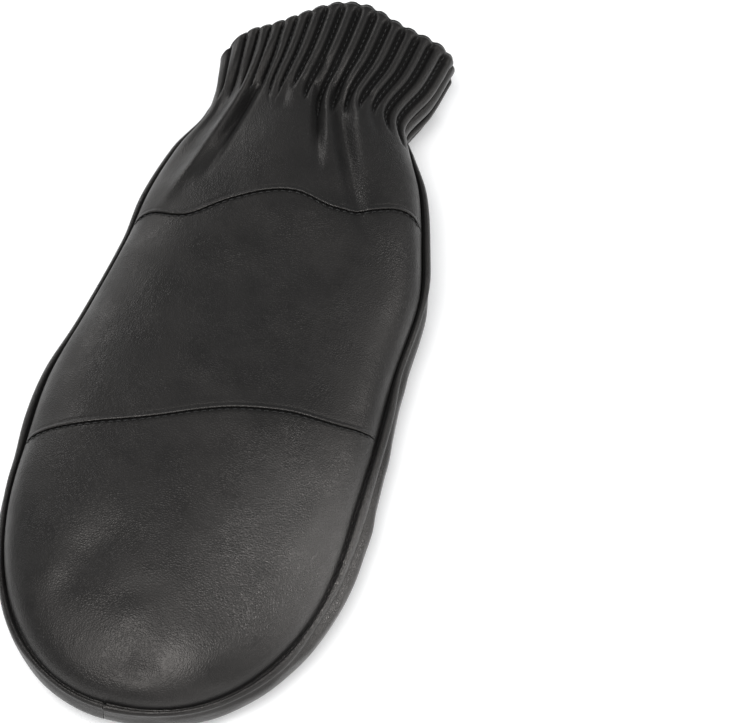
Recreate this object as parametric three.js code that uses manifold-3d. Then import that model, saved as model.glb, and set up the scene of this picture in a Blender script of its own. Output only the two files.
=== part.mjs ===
// A leather mitten for the right hand, lying palm down with its thumb folded under the palm.
// Each piece of leather is a thin closed wall: an outer skin, an inner face and the edges between them.
// Millimetres, +Z up. The fingertips point towards -Y, the ribbed cuff towards +Y, the thumb side is +X.
import * as THREE from "three";
import { mergeVertices } from "three/addons/utils/BufferGeometryUtils.js";
import Module from "manifold-3d";

const wasm = await Module();
wasm.setup();

// The hand: from the fingertips to the wrist, between the creases where the back meets the side band.
const handLength = 228.5;
const handWidth = 110.5;
const handHeight = 40;
// The cuff: from the wrist to the open end of its longest ribs.
const wristWidth = 66;
const cuffLength = 41.5;
const cuffWidth = 81;
const cuffHeight = 40;
const ribsPerHalf = 17;
const ribDepth = 1.9;
const ribFade = 11;
const scallopDepth = 1.6;
// The leather, and the gap that two neighbouring pieces keep.
const leatherWall = 2;
const cuffWall = 3.2;
const seamGap = 0.3;
const crossSeamGap = 0.45;
// The side band, with the rolled bead along its top edge.
const bandHeight = 13;
const bandBulge = 3;
const beadSize = 1.1;
// Folds and dents are shares of this depth.
const foldDepth = 4;
// The palm is pressed flat on what it lies on.
const pressDepth = 0.8;
// The thumb, a flattened bag folded under the palm.
const thumbLength = 84;
const thumbWidth = 37;
const thumbThickness = 12.4;
const thumbLean = 2.4;
const neckLength = 30;
const neckWidth = 24;
const neckSetback = 6;

// Where the smooth hand turns into the ribbed cuff, as places along the mitten: 1 is the wrist.
const wallThickens = { from: 0.93, to: 1.08 };
const foldsFade = { from: 0.985, to: 1.04 };
const bandFlattens = { from: 0.9, to: 1.06 };
const scallopFrom = 1.8;
const rimTurnFrom = 1.95;

// How square the sections are: 2 is an ellipse, more is squarer.
const ribRoundness = 2;
const crownSquareness = 2.35;
const tipSquareness = { left: 2.1, right: 2.25 };
const thumbSquareness = 3;
const bagRoundness = 0.8;

// One row for each section. "at" is 0 at the fingertips, 1 at the wrist and 2 at the cuff's open end.
// left, centre and right are shares of half the width, the heights are shares of the height beside them.
const sections = [
  { at: 0, width: handWidth, left: -1.023, centre: -0.103, right: 0.934,
    height: handHeight, creaseLeft: 0.45, creaseRight: 0.45, crown: 0.43, band: 0.78,
    bulgeLeft: 0.6, bulgeRight: 0.7, palm: 3.2 },
  { at: 0.326, width: handWidth, left: -1.023, centre: -0.103, right: 0.934,
    height: handHeight, creaseLeft: 0.49, creaseRight: 0.5, crown: 0.45, band: 0.96,
    bulgeLeft: 1.1, bulgeRight: 2.1, palm: 3.2 },
  { at: 0.457, width: handWidth, left: -1.03, centre: -0.07, right: 0.948,
    height: handHeight, creaseLeft: 0.5, creaseRight: 0.535, crown: 0.455, band: 1,
    bulgeLeft: 0.9, bulgeRight: 1.75, palm: 3.2 },
  { at: 0.587, width: handWidth, left: -0.937, centre: -0.02, right: 0.947,
    height: handHeight, creaseLeft: 0.51, creaseRight: 0.565, crown: 0.45, band: 1,
    bulgeLeft: 0.6, bulgeRight: 1.3, palm: 3.2 },
  { at: 0.717, width: handWidth, left: -0.852, centre: 0.04, right: 0.974,
    height: handHeight, creaseLeft: 0.525, creaseRight: 0.6, crown: 0.45, band: 1,
    bulgeLeft: 0.4, bulgeRight: 1, palm: 3.1 },
  { at: 0.804, width: handWidth, left: -0.82, centre: 0.045, right: 0.905,
    height: handHeight, creaseLeft: 0.54, creaseRight: 0.65, crown: 0.45, band: 0.97,
    bulgeLeft: 0.4, bulgeRight: 1, palm: 3 },
  { at: 0.891, width: handWidth, left: -0.743, centre: 0.035, right: 0.807,
    height: handHeight, creaseLeft: 0.55, creaseRight: 0.68, crown: 0.41, band: 0.85,
    bulgeLeft: 0.4, bulgeRight: 0.9, palm: 2.8 },
  { at: 0.957, width: handWidth, left: -0.637, centre: 0.02, right: 0.684,
    height: handHeight, creaseLeft: 0.57, creaseRight: 0.69, crown: 0.38, band: 0.62,
    bulgeLeft: 0.4, bulgeRight: 0.6, palm: 2.5 },
  { at: 1.04, width: wristWidth, left: -1.045, centre: 0.03, right: 1.03,
    height: cuffHeight, creaseLeft: 0.575, creaseRight: 0.66, crown: 0.385, band: 0.48,
    bulgeLeft: 0, bulgeRight: 0, palm: 2.4 },
  { at: 1.5, width: cuffWidth, left: -0.875, centre: 0.05, right: 0.98,
    height: cuffHeight, creaseLeft: 0.575, creaseRight: 0.6, crown: 0.42, band: 0.46,
    bulgeLeft: 0, bulgeRight: 0, palm: 2.3 },
  { at: 2, width: cuffWidth, left: -0.91, centre: 0.074, right: 1.074,
    height: cuffHeight, creaseLeft: 0.56, creaseRight: 0.575, crown: 0.435, band: 0.46,
    bulgeLeft: 0, bulgeRight: 0, palm: 2.3 },
];
// Below this section the outline rounds off to the fingertips.
const roundFrom = 0.326;
// Where the middle of the thumb lies, as shares of half the hand's width and of its length.
const thumbPlace = { across: 0.478, at: 0.492 };
// Where the band's two strips are joined, as a share of the way round the fingertips.
const bandJoin = 0.48;

// The band's outer face from its top edge to its lower one. bead and up are shares of the bead's size,
// bulge is a share of the band's bulge, down of its height; place is how far round a rib the point lies.
const bandProfile = [
  { bead: 0.32, bulge: 0, up: 0, down: 0, place: 0 },
  { bead: 0.75, bulge: 0, up: 0.9, down: 0, place: 0.05 },
  { bead: 1.45, bulge: 0, up: 0.85, down: 0, place: 0.13 },
  { bead: 2, bulge: 0, up: 0, down: 0, place: 0.22 },
  { bead: 1.6, bulge: 0, up: 0, down: 0.13, place: 0.33 },
  { bead: 0, bulge: 0.96, up: 0, down: 0.32, place: 0.5 },
  { bead: 0, bulge: 1, up: 0, down: 0.56, place: 0.68 },
  { bead: 0, bulge: 0.82, up: 0, down: 0.8, place: 0.84 },
  { bead: 0, bulge: 0.45, up: 0, down: 0.95, place: 0.94 },
  { bead: 0, bulge: 0, up: 0, down: 1, place: 1 },
];
// Its inner face, in the same way.
const bandInside = [
  { bulge: 0, down: 0 },
  { bulge: 0.6, down: 0.33 },
  { bulge: 0.6, down: 0.7 },
  { bulge: 0, down: 1 },
];

// The two seams across the back: how far along the hand they lie, from the left crease to the right one.
const lowerSeam = [
  { across: -1, at: 0.344 }, { across: -0.93, at: 0.351 }, { across: -0.65, at: 0.369 },
  { across: -0.25, at: 0.396 }, { across: 0.165, at: 0.436 }, { across: 0.485, at: 0.453 },
  { across: 0.765, at: 0.459 }, { across: 0.93, at: 0.468 }, { across: 1, at: 0.474 },
];
const upperSeam = [
  { across: -1, at: 0.738 }, { across: -0.9, at: 0.746 }, { across: -0.62, at: 0.742 },
  { across: -0.37, at: 0.776 }, { across: -0.1, at: 0.804 }, { across: 0.09, at: 0.81 },
  { across: 0.35, at: 0.797 }, { across: 0.57, at: 0.806 }, { across: 0.81, at: 0.828 },
  { across: 0.92, at: 0.831 }, { across: 1, at: 0.824 },
];
// How much shorter the cuff's ribs are, as a share of their length.
const rimShortness = [
  { across: -1, short: 0.6 }, { across: -0.94, short: 0.53 }, { across: -0.82, short: 0.42 },
  { across: -0.62, short: 0.35 }, { across: -0.43, short: 0.24 }, { across: -0.2, short: 0.08 },
  { across: -0.02, short: 0 }, { across: 0.2, short: -0.01 }, { across: 0.48, short: 0.08 },
  { across: 0.7, short: 0.11 }, { across: 1, short: 0.11 },
];
// Where the grooves between the ribs end among the folds of the wrist, and how far the ribs of the back
// are moved sideways from an even spacing. share is the way over the back from crease to crease.
const grooveEnds = [
  { share: 0, at: 0.98 }, { share: 0.2, at: 0.982 }, { share: 0.33, at: 0.99 },
  { share: 0.385, at: 0.96 }, { share: 0.43, at: 0.998 }, { share: 0.52, at: 0.985 },
  { share: 0.61, at: 0.957 }, { share: 0.665, at: 0.975 }, { share: 0.74, at: 0.976 },
  { share: 0.79, at: 0.988 }, { share: 0.86, at: 0.972 }, { share: 0.9, at: 0.956 },
  { share: 1, at: 0.94 },
];
const ribShifts = [
  { share: 0, shift: 0 }, { share: 0.1, shift: 0.035 }, { share: 0.25, shift: 0.005 },
  { share: 0.45, shift: -0.042 }, { share: 0.65, shift: -0.042 }, { share: 0.9, shift: -0.036 },
  { share: 1, shift: 0 },
];

// Folds, dents and bulges of the back. Each is a curve from a start, bent towards a place, to an end, as
// pairs of across and at. wide is a share of the hand's width, high a share of the fold depth: above 0 a
// ridge, below 0 a valley. Those that come out of the cuff are high from their start, the others fade in.
const folds = [
  { name: "left ridge", from: [-0.67, 1.06], bend: [-0.72, 0.885], to: [-0.86, 0.755],
    wide: 0.028, high: 0.6, fromCuff: 1 },
  { name: "left valley", from: [-0.5, 1.06], bend: [-0.625, 0.9], to: [-0.68, 0.755],
    wide: 0.03, high: -0.95, fromCuff: 1 },
  { name: "left soft side", from: [-0.5, 0.97], bend: [-0.56, 0.88], to: [-0.58, 0.76],
    wide: 0.09, high: -0.24, fromCuff: 1 },
  { name: "left hollow", from: [-0.76, 1.06], bend: [-0.83, 0.93], to: [-0.92, 0.83],
    wide: 0.034, high: -0.45, fromCuff: 1 },
  { name: "right fold", from: [0, 1.06], bend: [0.1, 0.96], to: [0.185, 0.85],
    wide: 0.022, high: -1, fromCuff: 1 },
  { name: "right soft side", from: [0.06, 1.06], bend: [0.15, 0.94], to: [0.26, 0.8],
    wide: 0.055, high: -0.4, fromCuff: 1 },
  { name: "between folds", from: [0.08, 1.06], bend: [0.15, 0.97], to: [0.24, 0.9],
    wide: 0.026, high: 0.5, fromCuff: 1 },
  { name: "right valley", from: [0.18, 1.06], bend: [0.36, 0.945], to: [0.54, 0.78],
    wide: 0.046, high: -0.95, fromCuff: 1 },
  { name: "valley's foot", from: [0.42, 0.9], bend: [0.56, 0.85], to: [0.4, 0.76],
    wide: 0.09, high: -0.3, fromCuff: 0 },
  { name: "right shoulder", from: [0.42, 0.99], bend: [0.62, 0.93], to: [0.74, 0.82],
    wide: 0.08, high: 0.26, fromCuff: 0 },
  { name: "middle bulge", from: [-0.22, 0.98], bend: [-0.12, 0.9], to: [-0.05, 0.79],
    wide: 0.13, high: 0.36, fromCuff: 0 },
  { name: "soft valley", from: [-0.4, 0.74], bend: [0, 0.64], to: [0.25, 0.54],
    wide: 0.15, high: -0.2, fromCuff: 0 },
  { name: "soft valley 2", from: [-0.62, 0.56], bend: [-0.3, 0.6], to: [0, 0.62],
    wide: 0.12, high: -0.1, fromCuff: 0 },
  { name: "tip valley", from: [-0.24, 0.255], bend: [-0.36, 0.17], to: [-0.5, 0.07],
    wide: 0.07, high: -0.42, fromCuff: 0 },
  { name: "tip swell", from: [-0.44, 0.21], bend: [-0.55, 0.15], to: [-0.62, 0.09],
    wide: 0.06, high: 0.16, fromCuff: 0 },
  { name: "tip swell 2", from: [-0.1, 0.13], bend: [0.02, 0.09], to: [0.16, 0.07],
    wide: 0.09, high: 0.22, fromCuff: 0 },
  { name: "tip dent, right", from: [0.62, 0.13], bend: [0.8, 0.15], to: [0.92, 0.215],
    wide: 0.05, high: -0.46, fromCuff: 0 },
  { name: "tip dent, middle", from: [0.02, 0.02], bend: [0.14, 0.05], to: [0.26, 0.03],
    wide: 0.036, high: -0.36, fromCuff: 0 },
];

// A smooth curve through two columns of a table, flat past its ends.
function smoothCurve(places, values) {
  const slopes = values.map((value, i) => {
    const before = Math.max(i - 1, 0);
    const after = Math.min(i + 1, values.length - 1);
    return (values[after] - values[before]) / (places[after] - places[before]);
  });
  return (place) => {
    let i = 0;
    while (i < places.length - 2 && place > places[i + 1]) i += 1;
    const span = places[i + 1] - places[i];
    const t = THREE.MathUtils.clamp((place - places[i]) / span, 0, 1);
    const rise = (3 - 2 * t) * t * t;
    const bend = span * (t * (1 - t) * (1 - t) * slopes[i] - t * t * (1 - t) * slopes[i + 1]);
    return values[i] * (1 - rise) + values[i + 1] * rise + bend;
  };
}

// The same place measured in lengths of the hand, so that no curve has a kink where the cuff starts.
const inHandLengths = (at) => (at <= 1 ? at : 1 + ((at - 1) * cuffLength) / handLength);
function column(value) {
  const curve = smoothCurve(sections.map((row) => inHandLengths(row.at)), sections.map(value));
  return (at) => curve(inHandLengths(at));
}
const leftCrease = column((row) => (row.left * row.width) / 2);
const centreLine = column((row) => (row.centre * row.width) / 2);
const rightCrease = column((row) => (row.right * row.width) / 2);
const leftCreaseHeight = column((row) => row.creaseLeft * row.height);
const rightCreaseHeight = column((row) => row.creaseRight * row.height);
const crownHeight = column((row) => row.crown * row.height);
const bandHeightAt = column((row) => row.band * bandHeight);
const leftBulge = column((row) => row.bulgeLeft * bandBulge);
const rightBulge = column((row) => row.bulgeRight * bandBulge);
const palmSquareness = column((row) => row.palm);
const lowerSeamAt = smoothCurve(lowerSeam.map((row) => row.across), lowerSeam.map((row) => row.at));
const upperSeamAt = smoothCurve(upperSeam.map((row) => row.across), upperSeam.map((row) => row.at));
const rimShortnessAt = smoothCurve(
  rimShortness.map((row) => row.across),
  rimShortness.map((row) => row.short),
);
const grooveEndAt = smoothCurve(grooveEnds.map((row) => row.share), grooveEnds.map((row) => row.at));
const ribShiftAt = smoothCurve(ribShifts.map((row) => row.share), ribShifts.map((row) => row.shift));

const { clamp, lerp, smoothstep } = THREE.MathUtils;
const roundedOff = (share, power) => (1 - Math.min(Math.abs(share), 1) ** power) ** (1 / power);
const steps = (count) => Array.from({ length: count + 1 }, (_, i) => i / count);
// Shares from -1 to 1 that crowd together at both ends, where a section bends most.
const crowdedSteps = (count) => steps(count).map((share) => -Math.cos(Math.PI * share));

// Places along the mitten, and back again.
const alongHand = (at) => at * handLength;
function alongCuff(at, across) {
  const length = cuffLength * (1 - rimShortnessAt(across));
  return handLength + (at - 1) * length;
}
const along = (at, across) => (at <= 1 ? alongHand(at) : alongCuff(at, across));

// How far the inner face lies inside the skin.
const wallAt = (at) => lerp(leatherWall, cuffWall, smoothstep(at, wallThickens.from, wallThickens.to));

// Half widths left and right of the centre line, drawn in by the inset.
function halfWidth(at, across, inset) {
  const centre = centreLine(at);
  return (across < 0 ? centre - leftCrease(at) : rightCrease(at) - centre) - inset;
}

// A point of the plan from its share across the section.
function planPoint(at, across, inset = 0) {
  const x = centreLine(at) + across * halfWidth(at, across, inset);
  return new THREE.Vector2(x, along(at, across));
}

// Where a point of the plan lies between the middle (0) and the outline (1), and its share across.
function placeInPlan(x, at, inset) {
  const side = x < centreLine(at) ? "left" : "right";
  const across = (x - centreLine(at)) / halfWidth(at, side === "left" ? -1 : 1, inset);
  if (at >= roundFrom) return { across, outwards: Math.min(Math.abs(across), 1) };
  const power = tipSquareness[side];
  const tipLength = alongHand(roundFrom) - inset;
  const beyond = alongHand(roundFrom - at) / tipLength;
  const outwards = Math.min((Math.abs(across) ** power + beyond ** power) ** (1 / power), 1);
  return { across: clamp(across, -1, 1), outwards };
}

const fromLeftToRight = (left, right, across) => lerp(left, right, (clamp(across, -1, 1) + 1) / 2);
const creaseHeight = (at, across) => fromLeftToRight(leftCreaseHeight(at), rightCreaseHeight(at), across);
const bulgeAt = (at, across) => fromLeftToRight(leftBulge(at), rightBulge(at), across);

// Folds and dents at a point of the plan.
const bendSteps = 6;
const foldLines = folds.map((fold) => {
  const stops = [fold.from, fold.bend, fold.to].map(([across, at]) => {
    const { x } = planPoint(Math.max(at, roundFrom), across);
    return new THREE.Vector3(x, alongHand(at), 0);
  });
  const points = new THREE.QuadraticBezierCurve3(...stops).getPoints(bendSteps);
  const lines = points.slice(1).map((point, i) => new THREE.Line3(points[i], point));
  return { lines, wide: fold.wide * handWidth, high: fold.high * foldDepth, fromCuff: fold.fromCuff };
});
function foldHeight(x, y) {
  const point = new THREE.Vector3(x, y, 0);
  const spot = new THREE.Vector3();
  let height = 0;
  for (const { lines, wide, high, fromCuff } of foldLines) {
    let nearest = Infinity;
    let share = 0;
    lines.forEach((line, i) => {
      const step = line.closestPointToPointParameter(point, true);
      const distance = line.at(step, spot).distanceTo(point);
      if (distance < nearest) share = (i + step) / bendSteps;
      nearest = Math.min(nearest, distance);
    });
    const fading = (1 - share ** 3) ** 1.5 * Math.max(smoothstep(share, 0, 0.5), fromCuff);
    height += high * fading * Math.exp(-((nearest / wide) ** 2));
  }
  return height;
}

// The back of the mitten over a point of the plan, first without its folds and then with them.
// The folds die away towards the seam round its edge and where the ribs begin.
const edgeWithoutFolds = 0.12;
function plainBackPoint(x, at, y, inset) {
  const { across, outwards } = placeInPlan(x, at, inset);
  const crown = (crownHeight(at) - inset) * roundedOff(outwards, crownSquareness);
  return new THREE.Vector3(x, y, creaseHeight(at, across) + seamGap + crown);
}
function backPoint(x, at, y, inset) {
  const inside = smoothstep(1 - placeInPlan(x, at, inset).outwards, 0, edgeWithoutFolds);
  const beforeCuff = 1 - smoothstep(y / handLength, foldsFade.from, foldsFade.to);
  const point = plainBackPoint(x, at, y, inset);
  point.z += foldHeight(x, y) * inside * beforeCuff;
  return point;
}

// The thumb under the palm: where it lies, and how the palm rises over it.
const thumbCentre = new THREE.Vector2((thumbPlace.across * handWidth) / 2, alongHand(thumbPlace.at));
const thumbTop = thumbThickness - pressDepth;
function thumbReach(x, y, grown) {
  const aside = Math.abs((x - thumbCentre.x) / (thumbWidth / 2 + grown));
  const lengthwise = Math.abs((y - thumbCentre.y) / (thumbLength / 2 + grown));
  return (aside ** thumbSquareness + lengthwise ** thumbSquareness) ** (1 / thumbSquareness);
}
const liftEnds = 1.5;
function liftOverThumb(x, y, grown) {
  const near = 1 - smoothstep(thumbReach(x, y, grown), 1, liftEnds);
  return (thumbTop + seamGap) * near;
}

// The palm under a point of the plan: flat where it rests, raised over the thumb.
function palmPoint(x, at, y, inset) {
  const { across, outwards } = placeInPlan(x, at, inset);
  const edge = creaseHeight(at, across) - bandHeightAt(at) - seamGap;
  const depth = (edge + pressDepth - inset) * roundedOff(outwards, palmSquareness(at));
  const resting = Math.max(edge - depth, inset);
  const fromBand = 1 - placeInPlan(x, at, wallAt(at)).outwards;
  const most = edge - wallAt(at) + thumbLean * thumbThickness * fromBand;
  const lifted = Math.min(liftOverThumb(x, y, inset), most) + inset;
  return new THREE.Vector3(x, y, Math.max(resting, lifted));
}

// The outline from one side of a section round the fingertips to the other side.
const outlineSteps = { side: 12, quarter: 24 };
function outlinePath(leftAt, rightAt, inset) {
  const tipX = centreLine(0);
  const tipY = alongHand(roundFrom);
  const points = [];
  const sideSteps = steps(outlineSteps.side);
  for (const share of sideSteps) points.push(planPoint(lerp(leftAt, roundFrom, share), -1, inset));
  for (const side of ["left", "right"]) {
    const power = 2 / tipSquareness[side];
    const sign = side === "left" ? -1 : 1;
    for (const share of steps(outlineSteps.quarter)) {
      const angle = ((side === "left" ? share : 1 - share) * Math.PI) / 2;
      const x = tipX + sign * halfWidth(roundFrom, sign, inset) * Math.cos(angle) ** power;
      points.push(new THREE.Vector2(x, tipY - (tipY - inset) * Math.sin(angle) ** power));
    }
  }
  for (const share of sideSteps) points.push(planPoint(lerp(roundFrom, rightAt, share), 1, inset));
  return evenlyAlong(points);
}

// The point of a polyline at a share of its length.
function evenlyAlong(points) {
  const lengths = [0];
  for (let i = 1; i < points.length; i += 1) {
    lengths.push(lengths[i - 1] + points[i].distanceTo(points[i - 1]));
  }
  return (share) => {
    const length = clamp(share, 0, 1) * lengths.at(-1);
    let i = 1;
    while (i < points.length - 1 && lengths[i] < length) i += 1;
    const span = Math.max(lengths[i] - lengths[i - 1], 1e-9);
    return points[i - 1].clone().lerp(points[i], (length - lengths[i - 1]) / span);
  };
}

// The fingertip end of the back or the palm: rows from the outline in to a line across the hand,
// crowded towards the outline, where the leather bends most.
const tipCrowding = 1.7;
function tipRows(surface, columns, rows, lineAt, inset) {
  const outline = outlinePath(lineAt(-1), lineAt(1), inset);
  return rows.map((row) =>
    columns.map((share) => {
      const across = -Math.cos(Math.PI * share);
      const near = planPoint(lineAt(across), across, inset);
      const point = near.lerp(outline(share), 1 - (1 - row) ** tipCrowding);
      return surface(point.x, point.y / handLength, point.y, inset);
    }),
  ).reverse();
}

// A row across the hand, between two lines that run from crease to crease.
function crossRow(surface, acrossShares, lineAt, inset) {
  return acrossShares.map((across) => {
    const at = lineAt(across);
    const point = planPoint(at, across, inset);
    return surface(point.x, at, point.y, inset);
  });
}

// Shares across a section that are evenly spaced along its curve, as the ribs are.
function evenAcross(surface, at, shares) {
  const fine = crowdedSteps(120);
  const curve = crossRow(surface, fine, () => at, 0).map(({ x, z }) => new THREE.Vector2(x, z));
  const lengths = [0];
  for (let i = 1; i < fine.length; i += 1) lengths.push(lengths[i - 1] + curve[i].distanceTo(curve[i - 1]));
  return shares.map((share) => {
    const length = share * lengths.at(-1);
    let i = 1;
    while (i < fine.length - 1 && lengths[i] < length) i += 1;
    const within = (length - lengths[i - 1]) / (lengths[i] - lengths[i - 1]);
    return lerp(fine[i - 1], fine[i], clamp(within, 0, 1));
  });
}

// The same for the back, whose ribs are moved a little from an even spacing.
const backAcross = (at, shares) =>
  evenAcross(plainBackPoint, at, shares.map((share) => share + ribShiftAt(share)));
const palmAcross = (at, shares) => evenAcross(palmPoint, at, shares);

// Each rib is a rounded roll between two sewn grooves.
const ribPlaces = [0, 0.18, 0.5, 0.82];
const ribShares = [];
for (let rib = 0; rib < ribsPerHalf; rib += 1) {
  for (const place of ribPlaces) ribShares.push((rib + place) / ribsPerHalf);
}
ribShares.push(1);
const grooveShares = steps(ribsPerHalf);
const roll = (place) => roundedOff(2 * place - 1, ribRoundness);
function ribRoll(share) {
  const place = share * ribsPerHalf;
  return roll(place - Math.floor(place + 1e-9));
}
// How deep the grooves are at a place along the cuff: they deepen fast from their ends and then slowly.
function grooveDepth(at, share) {
  const past = clamp((along(at, 0) - alongHand(grooveEndAt(share))) / ribFade, 0, 1);
  return ribDepth * past * (2 - past);
}
// The ribs' ends are turned in, by a share of the leather that is left under the grooves.
const rimTurn = 0.6 * (cuffWall - ribDepth);
const turnedIn = (at) => rimTurn * smoothstep(at, rimTurnFrom, 2) ** 2;
const scallop = (at) => scallopDepth * smoothstep(at, scallopFrom, 2);

// The two sides of the cuff: their surface, the plain surface below its folds, and the way they face.
const backSide = { surface: backPoint, plain: plainBackPoint, spacing: backAcross, facing: 1 };
const palmSide = { surface: palmPoint, plain: palmPoint, spacing: palmAcross, facing: -1 };

// A row of the ribbed cuff, its skin drawn in at the grooves.
function ribbedRow({ surface, plain, spacing, facing }, at, shares, inset) {
  const acrossShares = spacing(at, shares);
  const base = crossRow(plain, acrossShares, () => at, inset);
  return crossRow(surface, acrossShares, () => at, inset).map((point, i) => {
    const before = base[Math.max(i - 1, 0)];
    const after = base[Math.min(i + 1, base.length - 1)];
    const outwards = new THREE.Vector3(before.z - after.z, 0, after.x - before.x).normalize();
    if (i === 0) outwards.set(-facing, 0, 0);
    if (i === base.length - 1) outwards.set(facing, 0, 0);
    const low = 1 - ribRoll(shares[i]);
    const drawn = inset > 0 ? 0 : grooveDepth(at, shares[i]) * low + turnedIn(at);
    const moved = point.clone().addScaledVector(outwards, -facing * drawn);
    moved.y -= scallop(at) * low;
    moved.z = Math.max(moved.z, 0);
    return moved;
  });
}

// Triangles between two rows of points, which may have different numbers of points.
// places says how far along its row each point lies, so that points beside each other are joined.
const evenPlaces = (row) => row.map((_, i) => i / (row.length - 1));
function zip(lower, upper, faces, places = evenPlaces) {
  const lowerPlaces = [...places(lower), Infinity];
  const upperPlaces = [...places(upper), Infinity];
  let i = 0;
  let j = 0;
  while (i < lower.length - 1 || j < upper.length - 1) {
    if (lowerPlaces[i + 1] <= upperPlaces[j + 1] + 1e-9) {
      faces.push(lower[i], lower[i + 1], upper[j]);
      i += 1;
    } else {
      faces.push(lower[i], upper[j + 1], upper[j]);
      j += 1;
    }
  }
}

// One closed wall of leather from the rows of its skin and the rows of its inner face.
function leather(skinRows, innerRows) {
  const points = [];
  const faces = [];
  const numbered = (rows) => rows.map((row) => row.map((point) => points.push(point) - 1));
  const skin = numbered(skinRows);
  const inner = numbered(innerRows);
  for (let i = 0; i < skin.length - 1; i += 1) zip(skin[i], skin[i + 1], faces);
  for (let i = 0; i < inner.length - 1; i += 1) zip(inner[i + 1], inner[i], faces);
  zip(inner[0], skin[0], faces);
  zip(skin.at(-1), inner.at(-1), faces);
  const byLength = (side) => {
    const lengths = [0];
    for (let i = 1; i < side.length; i += 1) {
      lengths.push(lengths[i - 1] + points[side[i]].distanceTo(points[side[i - 1]]));
    }
    return lengths.map((length) => length / Math.max(lengths.at(-1), 1));
  };
  zip(skin.map((row) => row[0]), inner.map((row) => row[0]), faces, byLength);
  zip(inner.map((row) => row.at(-1)), skin.map((row) => row.at(-1)), faces, byLength);
  return closedGeometry(points, faces);
}

// A geometry with shared corners and without the faces that have closed up to a line.
function closedGeometry(points, faces) {
  const raw = new THREE.BufferGeometry().setFromPoints(points);
  raw.setIndex(faces);
  const merged = mergeVertices(raw, 1e-3);
  const corners = merged.index.array;
  const kept = [];
  for (let i = 0; i < corners.length; i += 3) {
    const [a, b, c] = [corners[i], corners[i + 1], corners[i + 2]];
    if (a !== b && b !== c && a !== c) kept.push(a, b, c);
  }
  merged.setIndex(kept);
  return merged;
}

// Every second row or point, always with the last one, for the inner faces.
const everyOther = (list, stride = 2) => list.filter((_, i) => i % stride === 0 || i === list.length - 1);

const halfGap = crossSeamGap / 2 / handLength;

function backTip() {
  const columns = steps(40);
  const rows = steps(11);
  const line = (across) => lowerSeamAt(across) - halfGap;
  return leather(
    tipRows(backPoint, columns, rows, line, 0),
    tipRows(backPoint, everyOther(columns), everyOther(rows), line, leatherWall),
  );
}

function backMiddle() {
  const across = crowdedSteps(36);
  const rowsBetween = (shares, columns, inset) =>
    shares.map((share) => {
      const line = (place) => lerp(lowerSeamAt(place) + halfGap, upperSeamAt(place) - halfGap, share);
      return crossRow(backPoint, columns, line, inset);
    });
  const rows = steps(8);
  return leather(
    rowsBetween(rows, across, 0),
    rowsBetween(everyOther(rows), across, leatherWall),
  );
}

// The cuff's rows: close together where the ribs begin and at their rounded ends.
const cuffPlaces = [0.955, 0.985, 1.03, 1.12, 1.3, 1.5, 1.7, 1.88, 1.97, 2];
// The stations that the palm and the band share between the rounded tip and the cuff.
const tipEnd = 0.45;
const sidePlaces = steps(11).slice(1, -1).map((share) => lerp(tipEnd, cuffPlaces[0], share));
const innerWristPlaces = [0.955, 1.03];
const innerRimPlaces = [1.3, 1.7, 2];

function backWrist() {
  const wristStart = cuffPlaces[0];
  const seamMiddle = upperSeamAt(0);
  const handRows = (shares, columns, inset) =>
    shares.map((share) => {
      const even = backAcross(lerp(seamMiddle, wristStart, share), columns);
      const line = (place) => lerp(upperSeamAt(place) + halfGap, wristStart, share);
      return crossRow(backPoint, even, line, inset);
    });
  const rows = steps(8).slice(0, -1);
  return leather(
    [...handRows(rows, ribShares, 0), ...cuffPlaces.map((at) => ribbedRow(backSide, at, ribShares, 0))],
    [
      ...handRows(everyOther(rows), steps(2 * ribsPerHalf), leatherWall),
      ...innerWristPlaces.map((at) => ribbedRow(backSide, at, steps(2 * ribsPerHalf), wallAt(at))),
      ...innerRimPlaces.map((at) => ribbedRow(backSide, at, grooveShares, wallAt(at))),
    ],
  );
}

function palmLeather() {
  const columnCount = 28;
  const columns = steps(columnCount);
  const tip = steps(8);
  const across = crowdedSteps(columnCount);
  const rowsAt = (places, inset) => places.map((at) => crossRow(palmPoint, across, () => at, inset));
  const cuffRows = (places, shares, inner) =>
    places.map((at) => ribbedRow(palmSide, at, shares, inner ? wallAt(at) : 0));
  const skin = [
    ...tipRows(palmPoint, columns, tip, () => tipEnd, 0),
    ...rowsAt(sidePlaces, 0),
    ...cuffRows(cuffPlaces, ribShares, false),
  ];
  const inner = [
    ...tipRows(palmPoint, columns, tip, () => tipEnd, leatherWall),
    ...rowsAt(sidePlaces, leatherWall),
    ...cuffRows([...innerWristPlaces, ...innerRimPlaces], grooveShares, true),
  ];
  return leather(inner, skin);
}

// The stations of one strip of the band, from the join at the fingertips to the cuff's open end.
function bandStations(side) {
  const round = outlinePath(roundFrom, roundFrom, 0);
  const stations = [];
  for (const share of steps(15)) {
    const plan = round(lerp(bandJoin, side < 0 ? 0 : 1, share));
    if (share === 0) plan.x += (side * seamGap) / 2;
    const at = plan.y / handLength;
    stations.push({ plan, at, across: placeInPlan(plan.x, at, 0).across });
  }
  const places = [lerp(roundFrom, tipEnd, 0.5), tipEnd, ...sidePlaces, ...cuffPlaces];
  for (const at of places) stations.push({ plan: planPoint(at, side), at, across: side });
  return stations.map((station, i) => {
    const before = stations[Math.max(i - 1, 0)].plan;
    const after = stations[Math.min(i + 1, stations.length - 1)].plan;
    const run = after.clone().sub(before).normalize();
    return { ...station, outwards: new THREE.Vector2(side * run.y, -side * run.x) };
  });
}

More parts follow.
